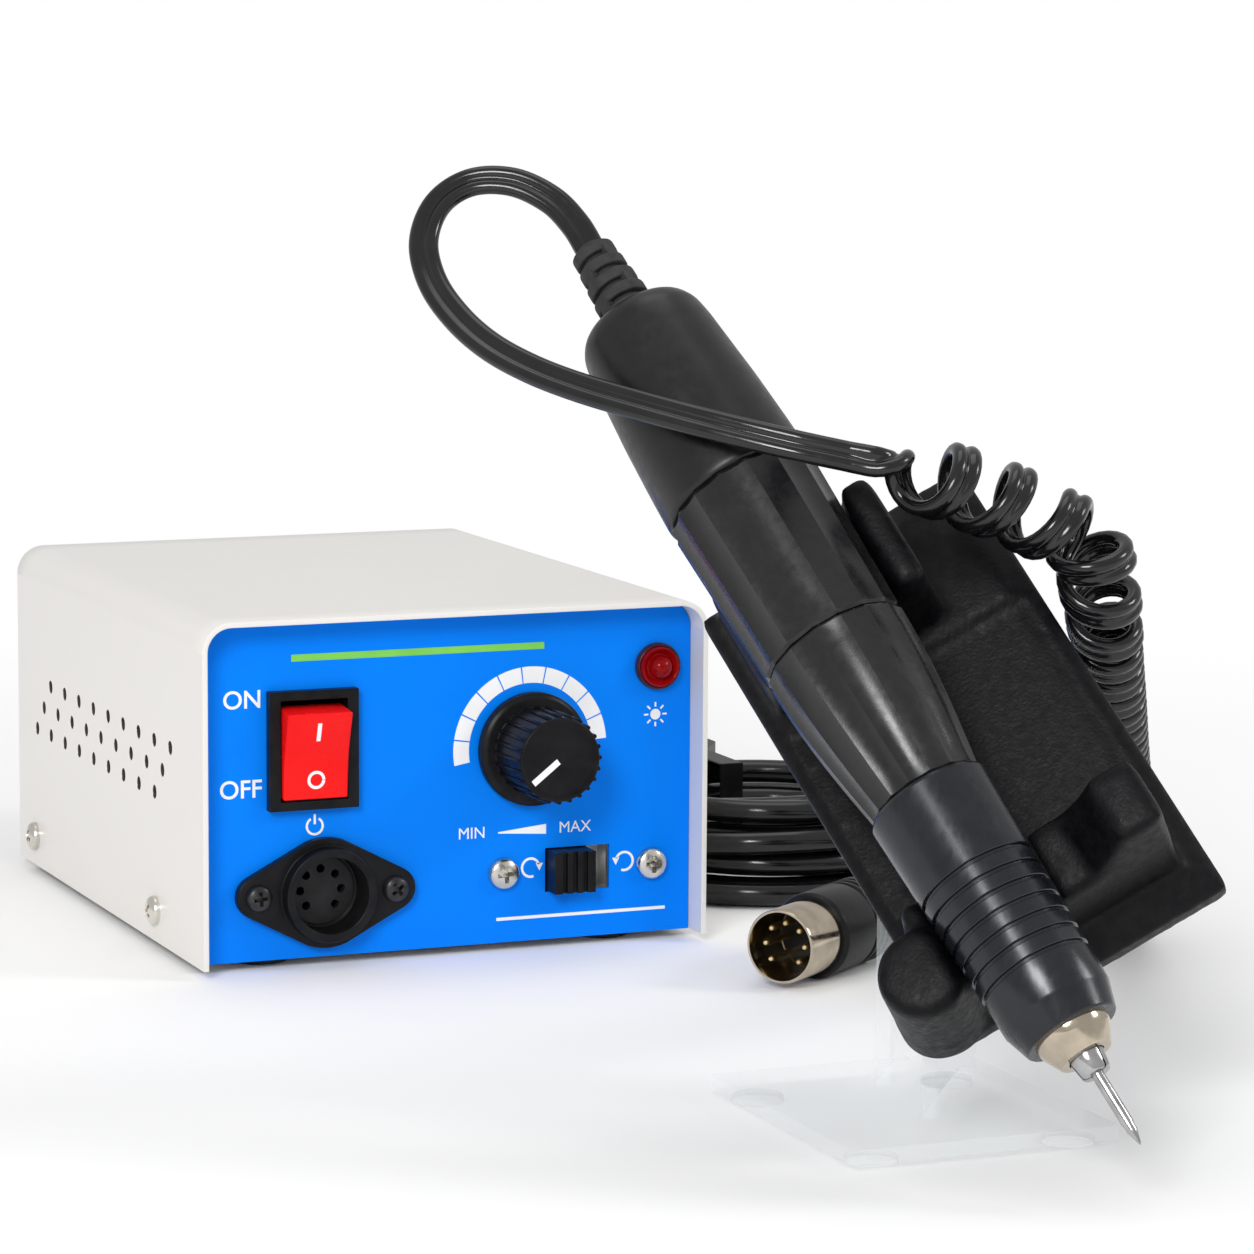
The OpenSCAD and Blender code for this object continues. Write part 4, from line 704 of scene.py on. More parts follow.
lens_side += [(DOME_R * math.cos(a), DOME_LOW + DOME_R * math.sin(a))
              for a in [math.radians(9 * i) for i in range(10)]]
lens_side += [(0.0, 4.8)]
lens = plain_mesh("lamp_lens", lathe(scaled(lens_side), 64))
lens.transform(on_panel(*LAMP_AT))
piece("lamp_dome", lens, lamp_skin, "unit", ["lamp_lens"])


# Motor socket
# A round chassis socket of black moulded plastic, its flange drawn out to two screws.
# The motor lead's plug goes into its collar, over a disc of seven contact holes.
dress("socket_shell", gloss_black, 0.4 * MM)
socket_disc = finish_of("contact_disc", (0.016, 0.016, 0.017), 0.45, sheen_level=0.3)
tint(socket_disc, (300, 3), (0.012, 0.012, 0.013), (0.021, 0.021, 0.022))
dress("socket_insert", socket_disc, 0.15 * MM)


# Direction switch
# A slide switch screwed behind the panel: a black ridged button in a slot of a white moulding.
white_plastic = finish_of("white_moulding", (0.78, 0.78, 0.76), 0.42)
tint(white_plastic, (150, 3), (0.74, 0.74, 0.72), (0.82, 0.82, 0.80))
dress("slide_body", white_plastic, 0.2 * MM)
dress("slide_button", gloss_black, 0.35 * MM)


# Handpiece
# A brushed motor in a fluted black housing with a smooth rear cover; the fluted ring in front of it turns
# to open the collet, and an anodised sleeve with grip grooves carries the nickel nose.
spin = next(j for j in frame["joints"] if j["name"] == "spindle_spin")
AXIS = Vector(spin["axis"]).normalized()
SPIN_AT = 60
TIP = Vector(spin["pos_m"]) - AXIS * SPIN_AT * MM
RIGHT = Vector((AXIS.y, -AXIS.x, 0.0)).normalized()
UP = RIGHT.cross(AXIS)
on_rest = Matrix((RIGHT, -UP, AXIS)).transposed().to_4x4()
on_rest.translation = TIP
NOSE_AT, SLEEVE_AT, RING_AT, HOUSING_AT = 18.5, 23.5, 74.8, 109.1
REAR_AT, BOOT_AT, END_AT = 144.6, 187.6, 205.6
FLUTES, FLUTE_DEPTH, FLUTE_STEPS = 16, 0.62, 12
RUN_OUT, AT_RIM, BEYOND = 1.2, 0.35, 0.65


def turned(name, profile, steps=96, shape=None, closed=True, soften=0.0):
    """A turned part of the handpiece, from (radius, place along the axis) in millimetres."""
    points = [*profile, profile[0]] if closed else profile
    points = eased(points, soften) if soften else points
    points = points[:-1] if closed else points
    mesh = plain_mesh(name, lathe(scaled(points), steps, shape, closed))
    mesh.transform(on_rest)
    return mesh


def flute(first, last, rim):
    """Broad hollows round a turned part that run out towards its rims; places are in millimetres."""
    def cut(angle, radius, height):
        if radius < rim * MM:
            return radius
        part = (angle * FLUTES / math.tau + 0.5) % 1.0
        hollow = 1 - (2 * part - 1) ** 2
        s = height / MM
        ends = min(1.0, max(0.0, (s - first) / RUN_OUT)) * min(1.0, max(0.0, (last - s) / RUN_OUT))
        return radius - FLUTE_DEPTH * MM * hollow * (AT_RIM + BEYOND * ends)
    return cut


def stations(first, last, count):
    """Even steps from one place to another."""
    return [first + (last - first) * i / count for i in range(count + 1)]


satin_black = finish_of("satin_black", (0.006, 0.006, 0.007), 0.34, sheen_level=0.40)
tint(satin_black, (160, 3), (0.005, 0.005, 0.006), (0.008, 0.008, 0.009))
gloss(satin_black, (500, 2), 0.28, 0.40)
relief(satin_black, (2600, 2), 0.00002, 0.5)
housing_skin = finish_of("housing_black", (0.007, 0.007, 0.008), 0.27, sheen_level=0.48)
tint(housing_skin, (160, 3), (0.005, 0.005, 0.006), (0.009, 0.009, 0.010))
gloss(housing_skin, (600, 2), 0.22, 0.32)
relief(housing_skin, (2400, 2), 0.00002, 0.4)
anodised = finish_of("blue_black_anodised", (0.008, 0.009, 0.013), 0.26, metallic=0.3, sheen_level=0.65)
tint(anodised, (200, 3), (0.006, 0.007, 0.010), (0.010, 0.011, 0.016))
gloss(anodised, (800, 2, (1, 1, 0.1)), 0.20, 0.30)
steel = finish_of("bright_steel", (0.44, 0.435, 0.44), 0.16, metallic=1.0)
tint(steel, (200, 4), (0.36, 0.355, 0.36), (0.52, 0.515, 0.52))
gloss(steel, (700, 2), 0.10, 0.22)
warm_nickel = finish_of("warm_nickel", (0.52, 0.45, 0.355), 0.15, metallic=1.0)
tint(warm_nickel, (250, 4), (0.46, 0.395, 0.31), (0.58, 0.505, 0.40))
gloss(warm_nickel, (900, 2), 0.10, 0.20)

rear = turned("rear_cover", [(11.7, REAR_AT), (14.5, REAR_AT), (15.0, REAR_AT + 0.8), (14.75, REAR_AT + 8),
                             (14.16, REAR_AT + 19.4), (13.4, BOOT_AT - 14), (12.9, BOOT_AT - 7.5),
                             (12.3, BOOT_AT - 3.6), (11.0, BOOT_AT - 1.2), (9.3, BOOT_AT), (5.7, BOOT_AT),
                             (5.7, BOOT_AT - 3), (8.5, BOOT_AT - 3), (11.7, BOOT_AT - 12)], soften=1.2)
piece("rear_shell", rear, satin_black, "handpiece", ["rear_cover"], 40)
barrel = [(14.1 + 0.9 * (s - HOUSING_AT) / 35.5, s) for s in stations(HOUSING_AT + 0.6, REAR_AT - 0.8, 12)]
housing = turned("motor_housing", [(8.95, HOUSING_AT), (13.5, HOUSING_AT), *barrel, (14.5, REAR_AT),
                                   (11.65, REAR_AT), (11.65, HOUSING_AT + 3.2), (8.95, HOUSING_AT + 3.2)],
                 FLUTES * FLUTE_STEPS, flute(HOUSING_AT, REAR_AT + 2, 13))
piece("fluted_housing", housing, housing_skin, "handpiece", ["motor_housing"], 28)
swell = [(10.9 + 3.2 * math.sin(math.radians(90 * t)), RING_AT + 0.5 + 33 * t) for t in stations(0, 1, 16)]
ring = turned("chuck_ring", [(8.95, RING_AT), (10.4, RING_AT), *swell, (13.6, RING_AT + 34),
                             (8.95, RING_AT + 34)], FLUTES * FLUTE_STEPS, flute(RING_AT, RING_AT + 34, 10.3))
piece("fluted_ring", ring, housing_skin, "chuck", ["chuck_ring"], 28)
sleeve_side = [(6.05, SLEEVE_AT), (8.7, SLEEVE_AT), (9.0, SLEEVE_AT + 0.3), (10.3, SLEEVE_AT + 4.6),
               (10.52, SLEEVE_AT + 5.2)]
for i in range(7):
    s = SLEEVE_AT + 12 + 3.4 * i
    r = 10.5 + 1.3 * (s - SLEEVE_AT - 5) / 46
    sleeve_side += [(r, s - 0.15), (r - 0.12, s), (r - 0.5, s + 0.12), (r - 0.5, s + 0.7),
                    (r - 0.12, s + 0.82), (r + 0.02, s + 0.97)]
sleeve_side += [(11.75, RING_AT - 0.9), (11.4, RING_AT - 0.3), (8.0, RING_AT - 0.3), (8.0, SLEEVE_AT + 7),
                (6.05, SLEEVE_AT + 7)]
piece("front_grip", turned("front_sleeve", sleeve_side), anodised, "handpiece", ["front_sleeve"],
      24)
nose = turned("nose_cap", [(3.5, NOSE_AT), (4.9, NOSE_AT), (5.15, NOSE_AT + 0.25),
                           (6.8, SLEEVE_AT - 1.6), (6.86, SLEEVE_AT - 1.5), (7.2, SLEEVE_AT - 0.2),
                           (7.2, SLEEVE_AT), (6.0, SLEEVE_AT),
                           (6.0, SLEEVE_AT + 6.8), (3.5, SLEEVE_AT + 6.8)])
piece("nickel_nose", nose, warm_nickel, "handpiece", ["nose_cap"], 24)
collet = turned("collet", [(1.21, 14.8), (2.5, 14.8), (2.8, 15.2), (3.3, 18.3), (3.3, 19.0), (2.5, 19.4),
                           (2.5, 33.4), (1.21, 33.4)], 60)
slit = plate("collet_slit", [scaled(box_outline(3.2, 0.35, 2.2, 0))], 14.5 * MM, 20.0 * MM)
slits = ring_of(slit, 3, 30, 120, steel)
slits.transform(on_rest)
piece("slit_collet", cut_by(collet, slits), steel, "spindle", ["collet"], 30)
bur = turned("bur", [(0.0, 0.0), (0.28, 0.5), (0.8, 2.4), (1.0, 2.9), (1.0, 4.0), (1.175, 4.6), (1.175, 32.4),
                     (0.0, 32.4)], 40, closed=False)
piece("steel_bur", bur, steel, "bur", ["bur"], 30)
for node, finish, edge in (("spindle", steel, 0.1), ("core_tube", steel, 0.1), ("motor_can", zinc, 0.1),
                           ("magnets", chips, 0.2), ("brush_gear", laminate, 0.2), ("bearings", steel, 0.1),
                           ("armature", winding, 0.2)):
    dress(node, finish, edge * MM)


# Cord boot
# Soft rubber, moulded as a stack of rings that lets the lead bend out of the rear cover.
# Each ring is held to the next by two webs, turned a quarter from those of the ring before.
BOOT_RINGS = 5
HOOP_SHARE, WEB_FROM, WEB_TO = 0.68, 0.5, 1.2


def boot(name, first, last, r_first, r_last, rings):
    """A ringed boot about Z, from first to last along it, as parts to be joined."""
    step = (last - first) / rings
    core = [(0.0, first), (r_first - 1.4, first), (r_last - 1.4, last - 0.4), (r_last - 1.8, last),
            (0.0, last)]
    parts = [plain_mesh(name, lathe(scaled(core), 48))]
    for i in range(rings):
        r = r_first + (r_last - r_first) * i / (rings - 1)
        s = first + i * step
        edge = s + step * HOOP_SHARE
        hoop = eased([(r - 1.6, s + 0.1), (r, s + 0.1), (r, edge), (r - 1.6, edge)], 0.4)
        parts.append(plain_mesh(name, lathe(scaled(hoop), 48, closed=True)))
        if i < rings - 1:
            web = plate("web", [scaled(box_outline(1.5, 2.6, r - 0.95, 0))], (s + step * WEB_FROM) * MM,
                        (s + step * WEB_TO) * MM)
            parts.append(ring_of(web, 2, 90 * (i % 2), 180, rubber))
    return [(part, flat) for part in parts]


boot_parts = boot("cord_boot", BOOT_AT, END_AT, 5.6, 4.3, BOOT_RINGS)
collar = [(0.0, BOOT_AT - 6), (7.2, BOOT_AT - 6), (7.2, BOOT_AT - 3.1), (5.6, BOOT_AT - 3),
          (5.6, BOOT_AT + 0.3), (0.0, BOOT_AT + 0.3)]
boot_parts.append((plain_mesh("collar", lathe(scaled(collar), 48)), flat))
boot_mesh = joined("cord_boot", boot_parts)
boot_mesh.transform(on_rest)
piece("ringed_boot", boot_mesh, rubber, "handpiece", ["cord_boot"], 40)


# Stand
# A moulded cradle with a fine leather grain: a tray between two saddles that the handpiece drops into.
# A prop of clear acrylic sheet, glued up from a base and two gussets, holds it up at its lean.
LEAN = math.radians(47)
ACROSS = RIGHT * math.cos(LEAN) + UP * math.sin(LEAN)
BED_UP = UP * math.cos(LEAN) - RIGHT * math.sin(LEAN)
BED_LEFT, BED_RIGHT, BED_FRONT, BED_REAR = -18.0, 39.0, 40.0, 138.0
BED_TOP, BED_LOW = 22.0, 27.0
RIM_W, RIM_FALL = 5.0, 0.6
on_bed = Matrix((ACROSS, -BED_UP, AXIS)).transposed().to_4x4()
on_bed.translation = TIP


def moulded_bed():
    """The cradle's solid with a sloping rim and soft edges, and with its saddles rounded further."""
    solid = bmesh.new()
    solid.from_mesh(frame["nodes"]["stand_bed"].data)
    skin = shaped(plain_mesh("bed", solid), ("REMESH", {"mode": "VOXEL", "voxel_size": 0.8 * MM}))
    form = bmesh.new()
    form.from_mesh(skin)
    form.transform(on_bed.inverted())
    for vert in form.verts:
        x, down, s = vert.co / MM
        rim = RIM_W - min(x - BED_LEFT, BED_RIGHT - x, s - BED_FRONT, BED_REAR - s)
        if rim > 0 and BED_TOP - 1 < down < BED_LOW:
            vert.co.y += rim * RIM_FALL * (BED_LOW - down) / (BED_LOW - BED_TOP + 1) * MM
    saddles = [vert for vert in form.verts if vert.co.y < (BED_TOP - 2) * MM]
    for verts, times in ((form.verts, 8), (saddles, 24)):
        for _ in range(times):
            bmesh.ops.smooth_vert(form, verts=verts, factor=0.5, use_axis_x=True, use_axis_y=True,
                                  use_axis_z=True)
    form.transform(on_bed)
    return plain_mesh("moulded_bed", form)


leather = finish_of("grained_black", (0.004, 0.004, 0.005), 0.42, sheen_level=0.15)
tint(leather, (420, 2), (0.002, 0.002, 0.003), (0.005, 0.005, 0.006))
gloss(leather, (700, 2), 0.38, 0.54)
relief(leather, (1500, 3), 0.00018, 0.5)
piece("moulded_bed", moulded_bed(), leather, "unit", ["stand_bed"], 180)
acrylic = finish_of("clear_acrylic", (0.90, 0.95, 0.96), 0.04)
acrylic.node_tree.nodes["Principled BSDF"].inputs["Alpha"].default_value = 0.16
gloss(acrylic, (90, 3), 0.02, 0.07)
dress("stand_prop", acrylic, 0.25 * MM)
dress("stand_pads", acrylic, 0.2 * MM)


# Motor lead
# A twin lead of glossy black PVC: straight out of the boot, wound into a spring, and straight to its plug.
# It loops back over the rear cover and the cradle's right edge, and its curls come down behind to the table.
LEAD_HALF = 1.45
CURL_LOOSE, CURL_TIGHT = 6.4, 5.25
PITCH_OPEN, PITCH_LOOSE, PITCH_TIGHT = 24.0, 12.0, 6.6
STRAIGHT, RAMP, LOOSE_END, TIGHT_RAMP = 3.0, 18.0, 60.0, 30.0
CURL_POINTS = 24
TWIST_FIRST, CURL_SETTLE, TAIL_SETTLE = 0.1, 14, 24


def from_case(x, y, z):
    """A point in millimetres from the case's middle, its front edge and the table."""
    return Vector((CASE_MID + x * MM, cover_low.y + y * MM, z * MM))


def from_tip(x, n, s):
    """A point in millimetres across the cradle from the handpiece's axis, up from it and along it."""
    return TIP + (ACROSS * x + BED_UP * n + AXIS * s) * MM


def smooth(points, steps):
    """A curve through points."""
    result = []
    for i in range(len(points) - 1):
        a, b = points[max(i - 1, 0)], points[i]
        c, d = points[i + 1], points[min(i + 2, len(points) - 1)]
        for k in range(steps):
            t = k / steps
            result.append(b + (c - a) * t / 2 + (a - b * 2.5 + c * 2 - d / 2) * t * t
                          + ((b - c) * 1.5 + (d - a) / 2) * t ** 3)
    return [*result, points[-1]]


def lengths(path):
    """How far along a path each of its points lies."""
    run = [0.0]
    for a, b in zip(path, path[1:]):
        run.append(run[-1] + (b - a).length)
    return run


def tangents(path):
    """The direction of a path at each of its points."""
    last = len(path) - 1
    return [(path[min(i + 1, last)] - path[max(i - 1, 0)]).normalized() for i in range(last + 1)]


def sweep(name, path, sides, section):
    """A section drawn along a path; each section point lies across the side vector and out from it."""
    form = bmesh.new()
    rings = []
    for point, along, side in zip(path, tangents(path), sides):
        across = (side - along * side.dot(along)).normalized()
        out = along.cross(across)
        rings.append([form.verts.new(point + across * a + out * b) for a, b in section])
    count = len(section)
    for low, high in zip(rings, rings[1:]):
        for i in range(count):
            j = (i + 1) % count
            form.faces.new((low[i], low[j], high[j], high[i]))
    form.faces.new(rings[0][::-1])
    form.faces.new(rings[-1])
    return plain_mesh(name, form)


def ease(t):
    """A soft step from 0 to 1."""
    t = min(max(t, 0.0), 1.0)
    return t * t * (3 - 2 * t)


lead_out = [from_tip(x, n, END_AT + s) for x, n, s in [
    (0, 0, -4), (0, 0, 0), (0, 0, 6), (-1.5, 0.5, 13), (-6, 1.5, 20), (-13, 2.5, 24), (-20.5, 3.5, 23),
    (-26.5, 4.5, 17), (-29, 5.5, 8), (-28.5, 7, -2), (-26, 9, -12), (-21.5, 11.5, -22),
    (-15.5, 14.2, -32), (-8.5, 17, -42), (-1.5, 18.6, -51), (5.5, 18.8, -59), (12.3, 18, -66),
    (19.3, 15.6, -72)]]
lead_path = smooth(lead_out, 8)
lead_sides = [BED_UP.cross(t) for t in tangents(lead_path)]
onward = (lead_out[-1] - lead_out[-2]).normalized()
spine = smooth([
    lead_out[-1] + onward * 0.4 * MM, lead_out[-1] + onward * 7 * MM,
    *[from_tip(*p) for p in [
        (29.5, 6.5, 126.5), (36, -0.5, 122.8), (42, -7.5, 118.2), (47, -13.5, 113), (50.5, -18, 107.5)]],
    *[from_case(*p) for p in [
        (68, -162, 93), (78, -147, 77.5), (88.5, -130, 62.5), (99, -113, 49), (109.5, -95, 37),
        (120.5, -76, 26), (131, -57, 17), (140, -39, 10.5), (147, -24, 7.6), (151, -10, 6.9)]]], 12)
spine_run = [s / MM for s in lengths(spine)]
spine_end = spine_run[-1]


def spine_at(s):
    """The point of the curls' middle line at a distance along it."""
    s = min(max(s, 0.0), spine_end)
    i = next(k for k in range(len(spine_run) - 1) if s <= spine_run[k + 1])
    return spine[i].lerp(spine[i + 1], (s - spine_run[i]) / (spine_run[i + 1] - spine_run[i]))


def add_side(side, part):
    """The flat lead's next side vector, turned only a part of the way from the one before it."""
    last = lead_sides[-1]
    lead_sides.append(last.lerp(side if side.dot(last) > 0 else -side, ease(part)).normalized())


s = 0.0
turn = 0.0
while s < spine_end - 1:
    wound = ease((s - STRAIGHT) / RAMP) * ease((spine_end - STRAIGHT - s) / RAMP)
    tight = ease((s - LOOSE_END) / TIGHT_RAMP)
    pitch = PITCH_OPEN + (PITCH_LOOSE + (PITCH_TIGHT - PITCH_LOOSE) * tight - PITCH_OPEN) * wound
    radius = (CURL_LOOSE + (CURL_TIGHT - CURL_LOOSE) * tight) * wound
    along = (spine_at(s + 2) - spine_at(s - 2)).normalized()
    first = along.cross(Vector((0, 0, 1))).normalized()
    second = first.cross(along)
    lean = math.atan2(math.tau * radius, pitch)
    lead_path.append(spine_at(s) + (first * math.cos(turn) + second * math.sin(turn)) * radius * MM)
    side = along * math.sin(lean) - (second * math.cos(turn) - first * math.sin(turn)) * math.cos(lean)
    add_side(side, TWIST_FIRST + s / CURL_SETTLE)
    if STRAIGHT <= s < spine_end - STRAIGHT:
        s += pitch / CURL_POINTS
        turn += math.tau / CURL_POINTS
    else:
        s += 1.0
PLUG_AT = from_case(98, -17, 9.3)
PLUG_TURN = Matrix.Rotation(math.radians(-53), 4, "Z") @ Matrix.Rotation(math.radians(90), 4, "X")
plug_way = PLUG_TURN @ Vector((0, 0, 1))
lead_in = smooth([*[from_case(*p) for p in [
    (151, -10, 6.9), (152, -2, 6.2), (152, 6, 4.2), (149, 14, 2.4), (142, 19.5, 1.8), (133, 19.5, 1.7),
    (124.5, 14, 1.7), (118, 6, 2.4), (112.5, -2, 4.6), (107.3, -8.6, 7.4)]],
    PLUG_AT - plug_way * 6 * MM, PLUG_AT, PLUG_AT + plug_way * 4 * MM], 8)
lead_path += lead_in
for i, way in enumerate(tangents(lead_in)):
    add_side(Vector((0, 0, 1)).cross(way), TWIST_FIRST + i / TAIL_SETTLE)
lobes = arc(LEAD_HALF, -145, 145, 14, (LEAD_HALF, 0)) + arc(LEAD_HALF, 35, 325, 14, (-LEAD_HALF, 0))
lead_mesh = sweep("motor_lead", lead_path, lead_sides, scaled(lobes))
pvc = finish_of("black_pvc", (0.005, 0.005, 0.006), 0.16, sheen_level=0.5)
tint(pvc, (150, 3), (0.004, 0.004, 0.005), (0.007, 0.007, 0.008))
gloss(pvc, (350, 2), 0.12, 0.22)
motor_lead = placed("motor_lead", lead_mesh)
lead_mesh.materials.append(pvc)
lead_mesh.shade_smooth()
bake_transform(motor_lead)
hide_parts("lead_rear", "curly_cord", "lead_tail")


# Motor plug
# A round moulded plug with a slotted boot and three grip grooves, lying free on the table.
# Its nickel shell guards seven gilt pins on a black disc.
on_plug = Matrix.Translation(PLUG_AT) @ PLUG_TURN
plug_boot = joined("plug_boot", boot("plug_boot", 0.0, 20.0, 4.4, 8.2, 6))
plug_boot.transform(on_plug)
boot_piece = piece("plug_boot_rings", plug_boot, rubber, "unit", ["plug_boot"], 40)
hull_side = [(0.0, 20.0), (8.1, 20.0), (9.3, 21.6)]
for i in range(3):
    s = 24.0 + 2.6 * i
    hull_side += [(9.3, s), (8.75, s + 0.25), (8.75, s + 1.15), (9.3, s + 1.4)]
hull_side += [(9.3, 43.0), (8.7, 44.0), (7.7, 44.0), (7.6, 43.2), (0.0, 43.2)]
hull = plain_mesh("plug_body", lathe(scaled(eased(hull_side, 0.25)), 72))
hull.transform(on_plug)
hull_piece = piece("plug_hull", hull, gloss_black, "unit", ["plug_body"], 30)
shell_side = [(6.8, 38.0), (7.6, 38.0), (7.6, 44.0), (8.0, 44.1), (8.0, 56.6), (7.8, 57.0), (7.35, 57.0),
              (7.2, 56.6), (7.2, 43.4), (6.8, 43.0)]
shell = plain_mesh("plug_shell", lathe(scaled(shell_side), 72, closed=True))
shell.transform(on_plug)
shell_piece = piece("plug_ferrule", shell, warm_nickel, "unit", ["plug_shell"], 30)
gilt = finish_of("gilt_pins", (0.70, 0.55, 0.28), 0.26, metallic=1.0)
tint(gilt, (400, 3), (0.60, 0.46, 0.22), (0.78, 0.62, 0.33))
PIN_CIRCLE = 4.68
pin_side = [(0.0, 42.0), *eased([(0.75, 42.0), (0.75, 54.3), (0.45, 55.0), (0.0, 55.0)], 0.2)]
pin = plain_mesh("plug_pin", lathe(scaled(pin_side), 20))
pin.transform(Matrix.Translation((PIN_CIRCLE * MM, 0, 0)))
pins = ring_of(pin, 7, -45, 45, gilt)
pins.transform(on_plug)
pin_piece = piece("plug_pin_set", pins, gilt, "unit", ["plug_pins"], 30)


# Mains lead
# A round black lead out of the case's ribbed gland, wound into a coil held by a tie, with a moulded plug.
# It lies on the table behind and to the right of the case.
dress("mains_gland", rubber, 0.25 * MM)
MAINS_R = 2.75
COIL_AT = (100.0, 62.0)
COIL_R, COIL_STEP, COIL_TURNS = 35.0, 6.1, 7.5
COIL_LOW, COIL_POINTS = 3.35, 48
COIL_RISES = (1.75, 3.75, 5.75)


def coil_point(u):
    """A point of the coil after a number of turns: flat spirals of two turns, in and out, one on another."""
    layer = int(u // 2)
    part = u - 2 * layer
    r = COIL_R - COIL_STEP * (part if layer % 2 == 0 else 2 - part)
    angle = math.pi + math.tau * u
    rise = sum(ease(2 * (u - start)) for start in COIL_RISES)
    return from_case(COIL_AT[0] + r * math.cos(angle), COIL_AT[1] + r * math.sin(angle),
                     COIL_LOW + COIL_STEP * rise)


coil = [coil_point(i / COIL_POINTS) for i in range(int(COIL_TURNS * COIL_POINTS) + 1)]
coil_way = (coil[-1] - coil[-2]).normalized()
mains_path = smooth([from_case(*p) for p in [
    (36, 154, 22), (36, 160, 22), (36, 168, 22), (36, 178, 20.5), (37, 190, 15.5), (41, 203, 9), (50, 214, 5),
    (63, 219, 3.5), (76, 214, 3.4), (84, 203, 3.4), (86, 188, 3.4), (83, 170, 3.4), (77, 150, 3.4),
    (71, 128, 3.4), (66.5, 106, 3.4), (65, 88, 3.4), (65, 76, 3.4), (65, 68, 3.35)]], 8) + coil
mains_path += smooth([coil[-1] + coil_way * 6.2 * MM, *[from_case(*p) for p in [
    (132.6, 77, 21.6), (132.6, 87, 20.4), (131.5, 98, 17), (129.5, 109, 12.8), (127, 120, 9.3),
    (124.5, 131, 7.4), (122.8, 142, 7), (122.5, 152, 7), (122.5, 156, 7)]]], 8)
mains_mesh = sweep("mains_cable", mains_path, [Vector((0, 0, 1))] * len(mains_path),
                   scaled(arc(MAINS_R, 0, 337.5, 15)))
mains_cable = piece("mains_cable", mains_mesh, pvc, "unit", ["mains_lead", "mains_coil", "mains_tail"],
                   60)
dress("coil_tie", gloss_black, 0.3 * MM)
dress("mains_plug", gloss_black, 0.8 * MM)
dress("mains_pins", nickel, 0.2 * MM)


# Studio
# White paper that runs out into a white room, with soft light from above and from both sides.
# The camera stands a metre in front of the case, to its left.
scene = bpy.context.scene
scene.view_settings.view_transform = "Standard"


def soft_lamp(name, place, size, power):
    """A square lamp in metres and watts, aimed at the object's middle."""
    lamp = bpy.data.lights.new(name, "AREA")
    lamp.shape = "SQUARE"
    lamp.size = size
    lamp.energy = power
    holder = placed(name, lamp)
    holder.location = place
    holder.rotation_euler = (MIDDLE - Vector(place)).to_track_quat("-Z", "Y").to_euler()
    return holder


MIDDLE = Vector((0.03, 0.0, 0.06))
lamps = [soft_lamp("key", (-0.9, -1.2, 0.85), 0.5, 14.5), soft_lamp("side", (1.3, -0.7, 0.9), 0.4, 6.0),
         soft_lamp("top", (0.1, 0.2, 1.6), 0.9, 3.0)]


def seen_white(tree, lit, amount=None):
    """Mixes a shader with plain white for the rays of the camera and of clear pieces."""
    rays = tree.nodes.new("ShaderNodeLightPath").outputs
    share = wire(tree, "ShaderNodeMath", {"operation": "ADD", "use_clamp": True},
                 in_0=rays["Is Camera Ray"], in_1=rays["Is Transmission Ray"])
    if amount:
        share = wire(tree, "ShaderNodeMath", {"operation": "MULTIPLY"}, in_0=share, in_1=amount)
    white = wire(tree, "ShaderNodeEmission")
    return wire(tree, "ShaderNodeMixShader", Fac=share, in_1=lit, in_2=white)


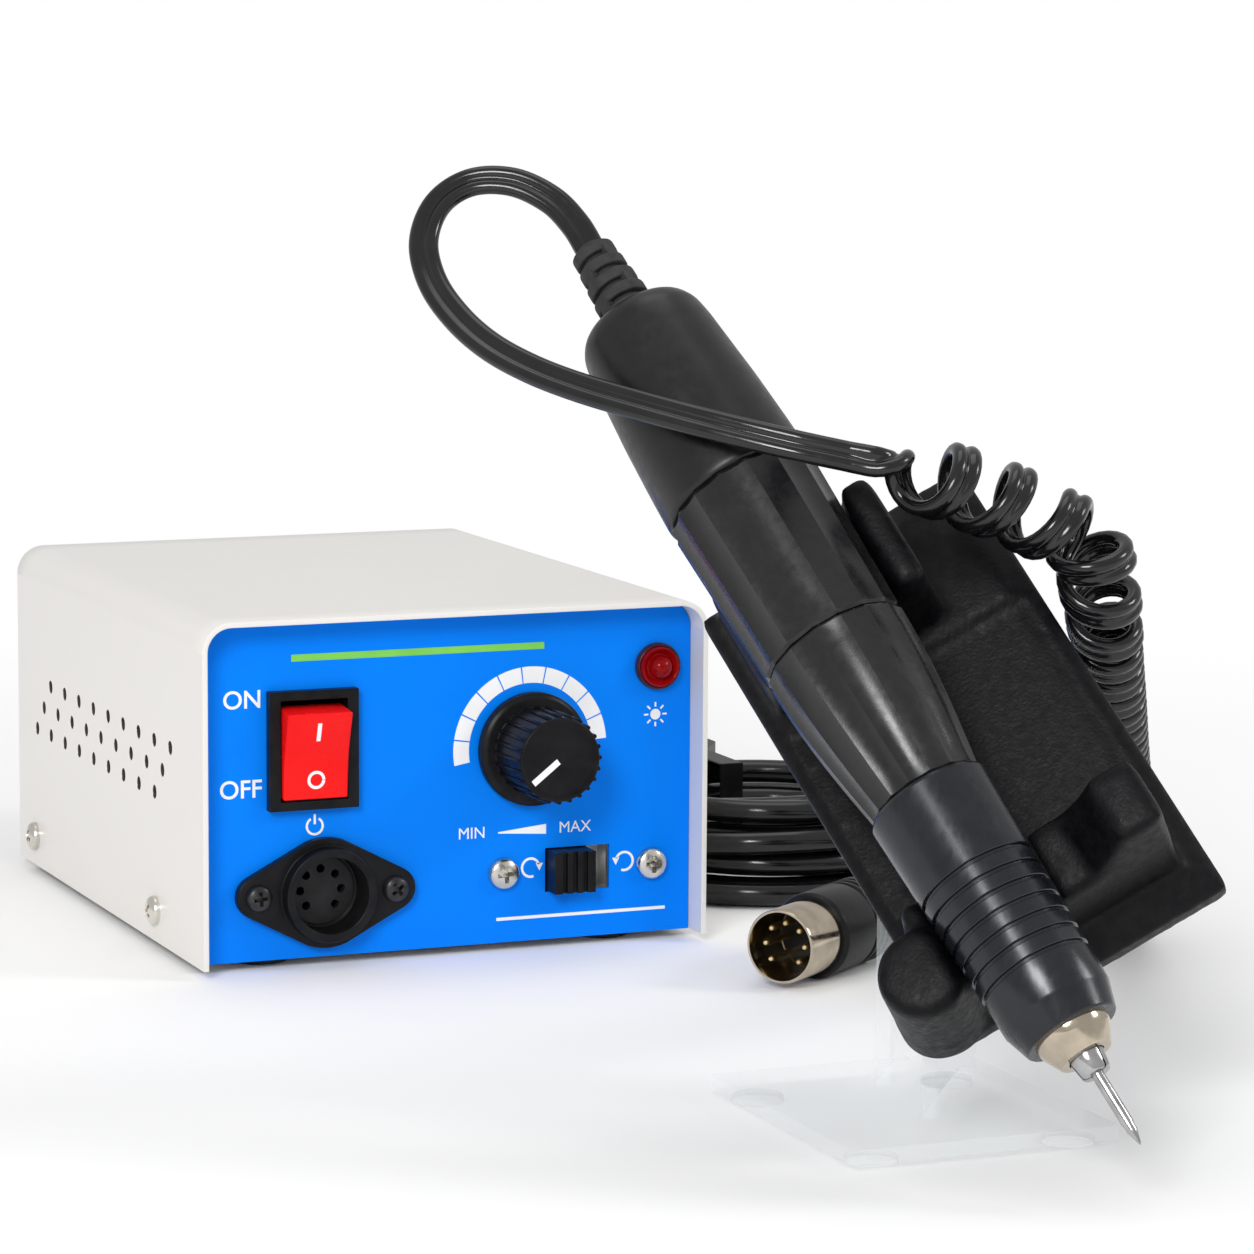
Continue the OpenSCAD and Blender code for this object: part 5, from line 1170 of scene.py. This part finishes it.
FLOOR_SIDE = 60
FADE_FROM, FADE_TO = 0.22, 0.6
floor_mesh = bpy.data.meshes.new("floor")
floor_mesh.from_pydata([(x, y, 0) for x, y in box_outline(FLOOR_SIDE, FLOOR_SIDE)], [], [(0, 1, 2, 3)])
floor = placed("floor", floor_mesh)
paper = finish_of("studio_paper", (0.95, 0.95, 0.95), 0.9, sheen_level=0.0)
floor_mesh.materials.append(paper)
paper_tree = paper.node_tree
coords = paper_tree.nodes.new("ShaderNodeTexCoord").outputs["Object"]
distance = wire(paper_tree, "ShaderNodeVectorMath", {"operation": "LENGTH"}, in_0=coords)
fade = wire(paper_tree, "ShaderNodeMapRange", {"interpolation_type": "SMOOTHSTEP"},
            Value=distance.node.outputs["Value"], From_Min=FADE_FROM, From_Max=FADE_TO)
lit_paper = paper_tree.nodes["Principled BSDF"].outputs["BSDF"]
paper_tree.links.new(seen_white(paper_tree, lit_paper, fade),
                     paper_tree.nodes["Material Output"].inputs["Surface"])

ROOM_LEVEL = 0.62
world = bpy.data.worlds.new("studio")
scene.world = world
world.use_nodes = True
sky = world.node_tree.nodes["Background"]
sky.inputs["Color"].default_value = (1.0, 1.0, 1.0, 1.0)
sky.inputs["Strength"].default_value = ROOM_LEVEL
world.node_tree.links.new(seen_white(world.node_tree, sky.outputs["Background"]),
                          world.node_tree.nodes["World Output"].inputs["Surface"])

CAM_AZIMUTH, CAM_ELEVATION, CAM_ROLL = -22.708, 7.827, 0.374
SENSOR_MM, FOCAL_PIXELS, PICTURE_PIXELS = 36.0, 4747.5, 1254
az, el = math.radians(CAM_AZIMUTH), math.radians(CAM_ELEVATION)
back = Vector((math.sin(az) * math.cos(el), -math.cos(az) * math.cos(el), math.sin(el)))
across = Vector((math.cos(az), math.sin(az), 0.0))
upward = back.cross(across)
roll = math.radians(CAM_ROLL)
turned_across = across * math.cos(roll) + upward * math.sin(roll)
turned_up = upward * math.cos(roll) - across * math.sin(roll)
lens_data = bpy.data.cameras.new("camera")
lens_data.sensor_width = SENSOR_MM
lens_data.lens = SENSOR_MM * FOCAL_PIXELS / PICTURE_PIXELS
lens_data.clip_end = 100.0
camera = placed("camera", lens_data)
camera.matrix_world = Matrix((turned_across, turned_up, back)).transposed().to_4x4()
camera.location = from_case(-356.441, -943.956, 211.994)
scene.camera = camera
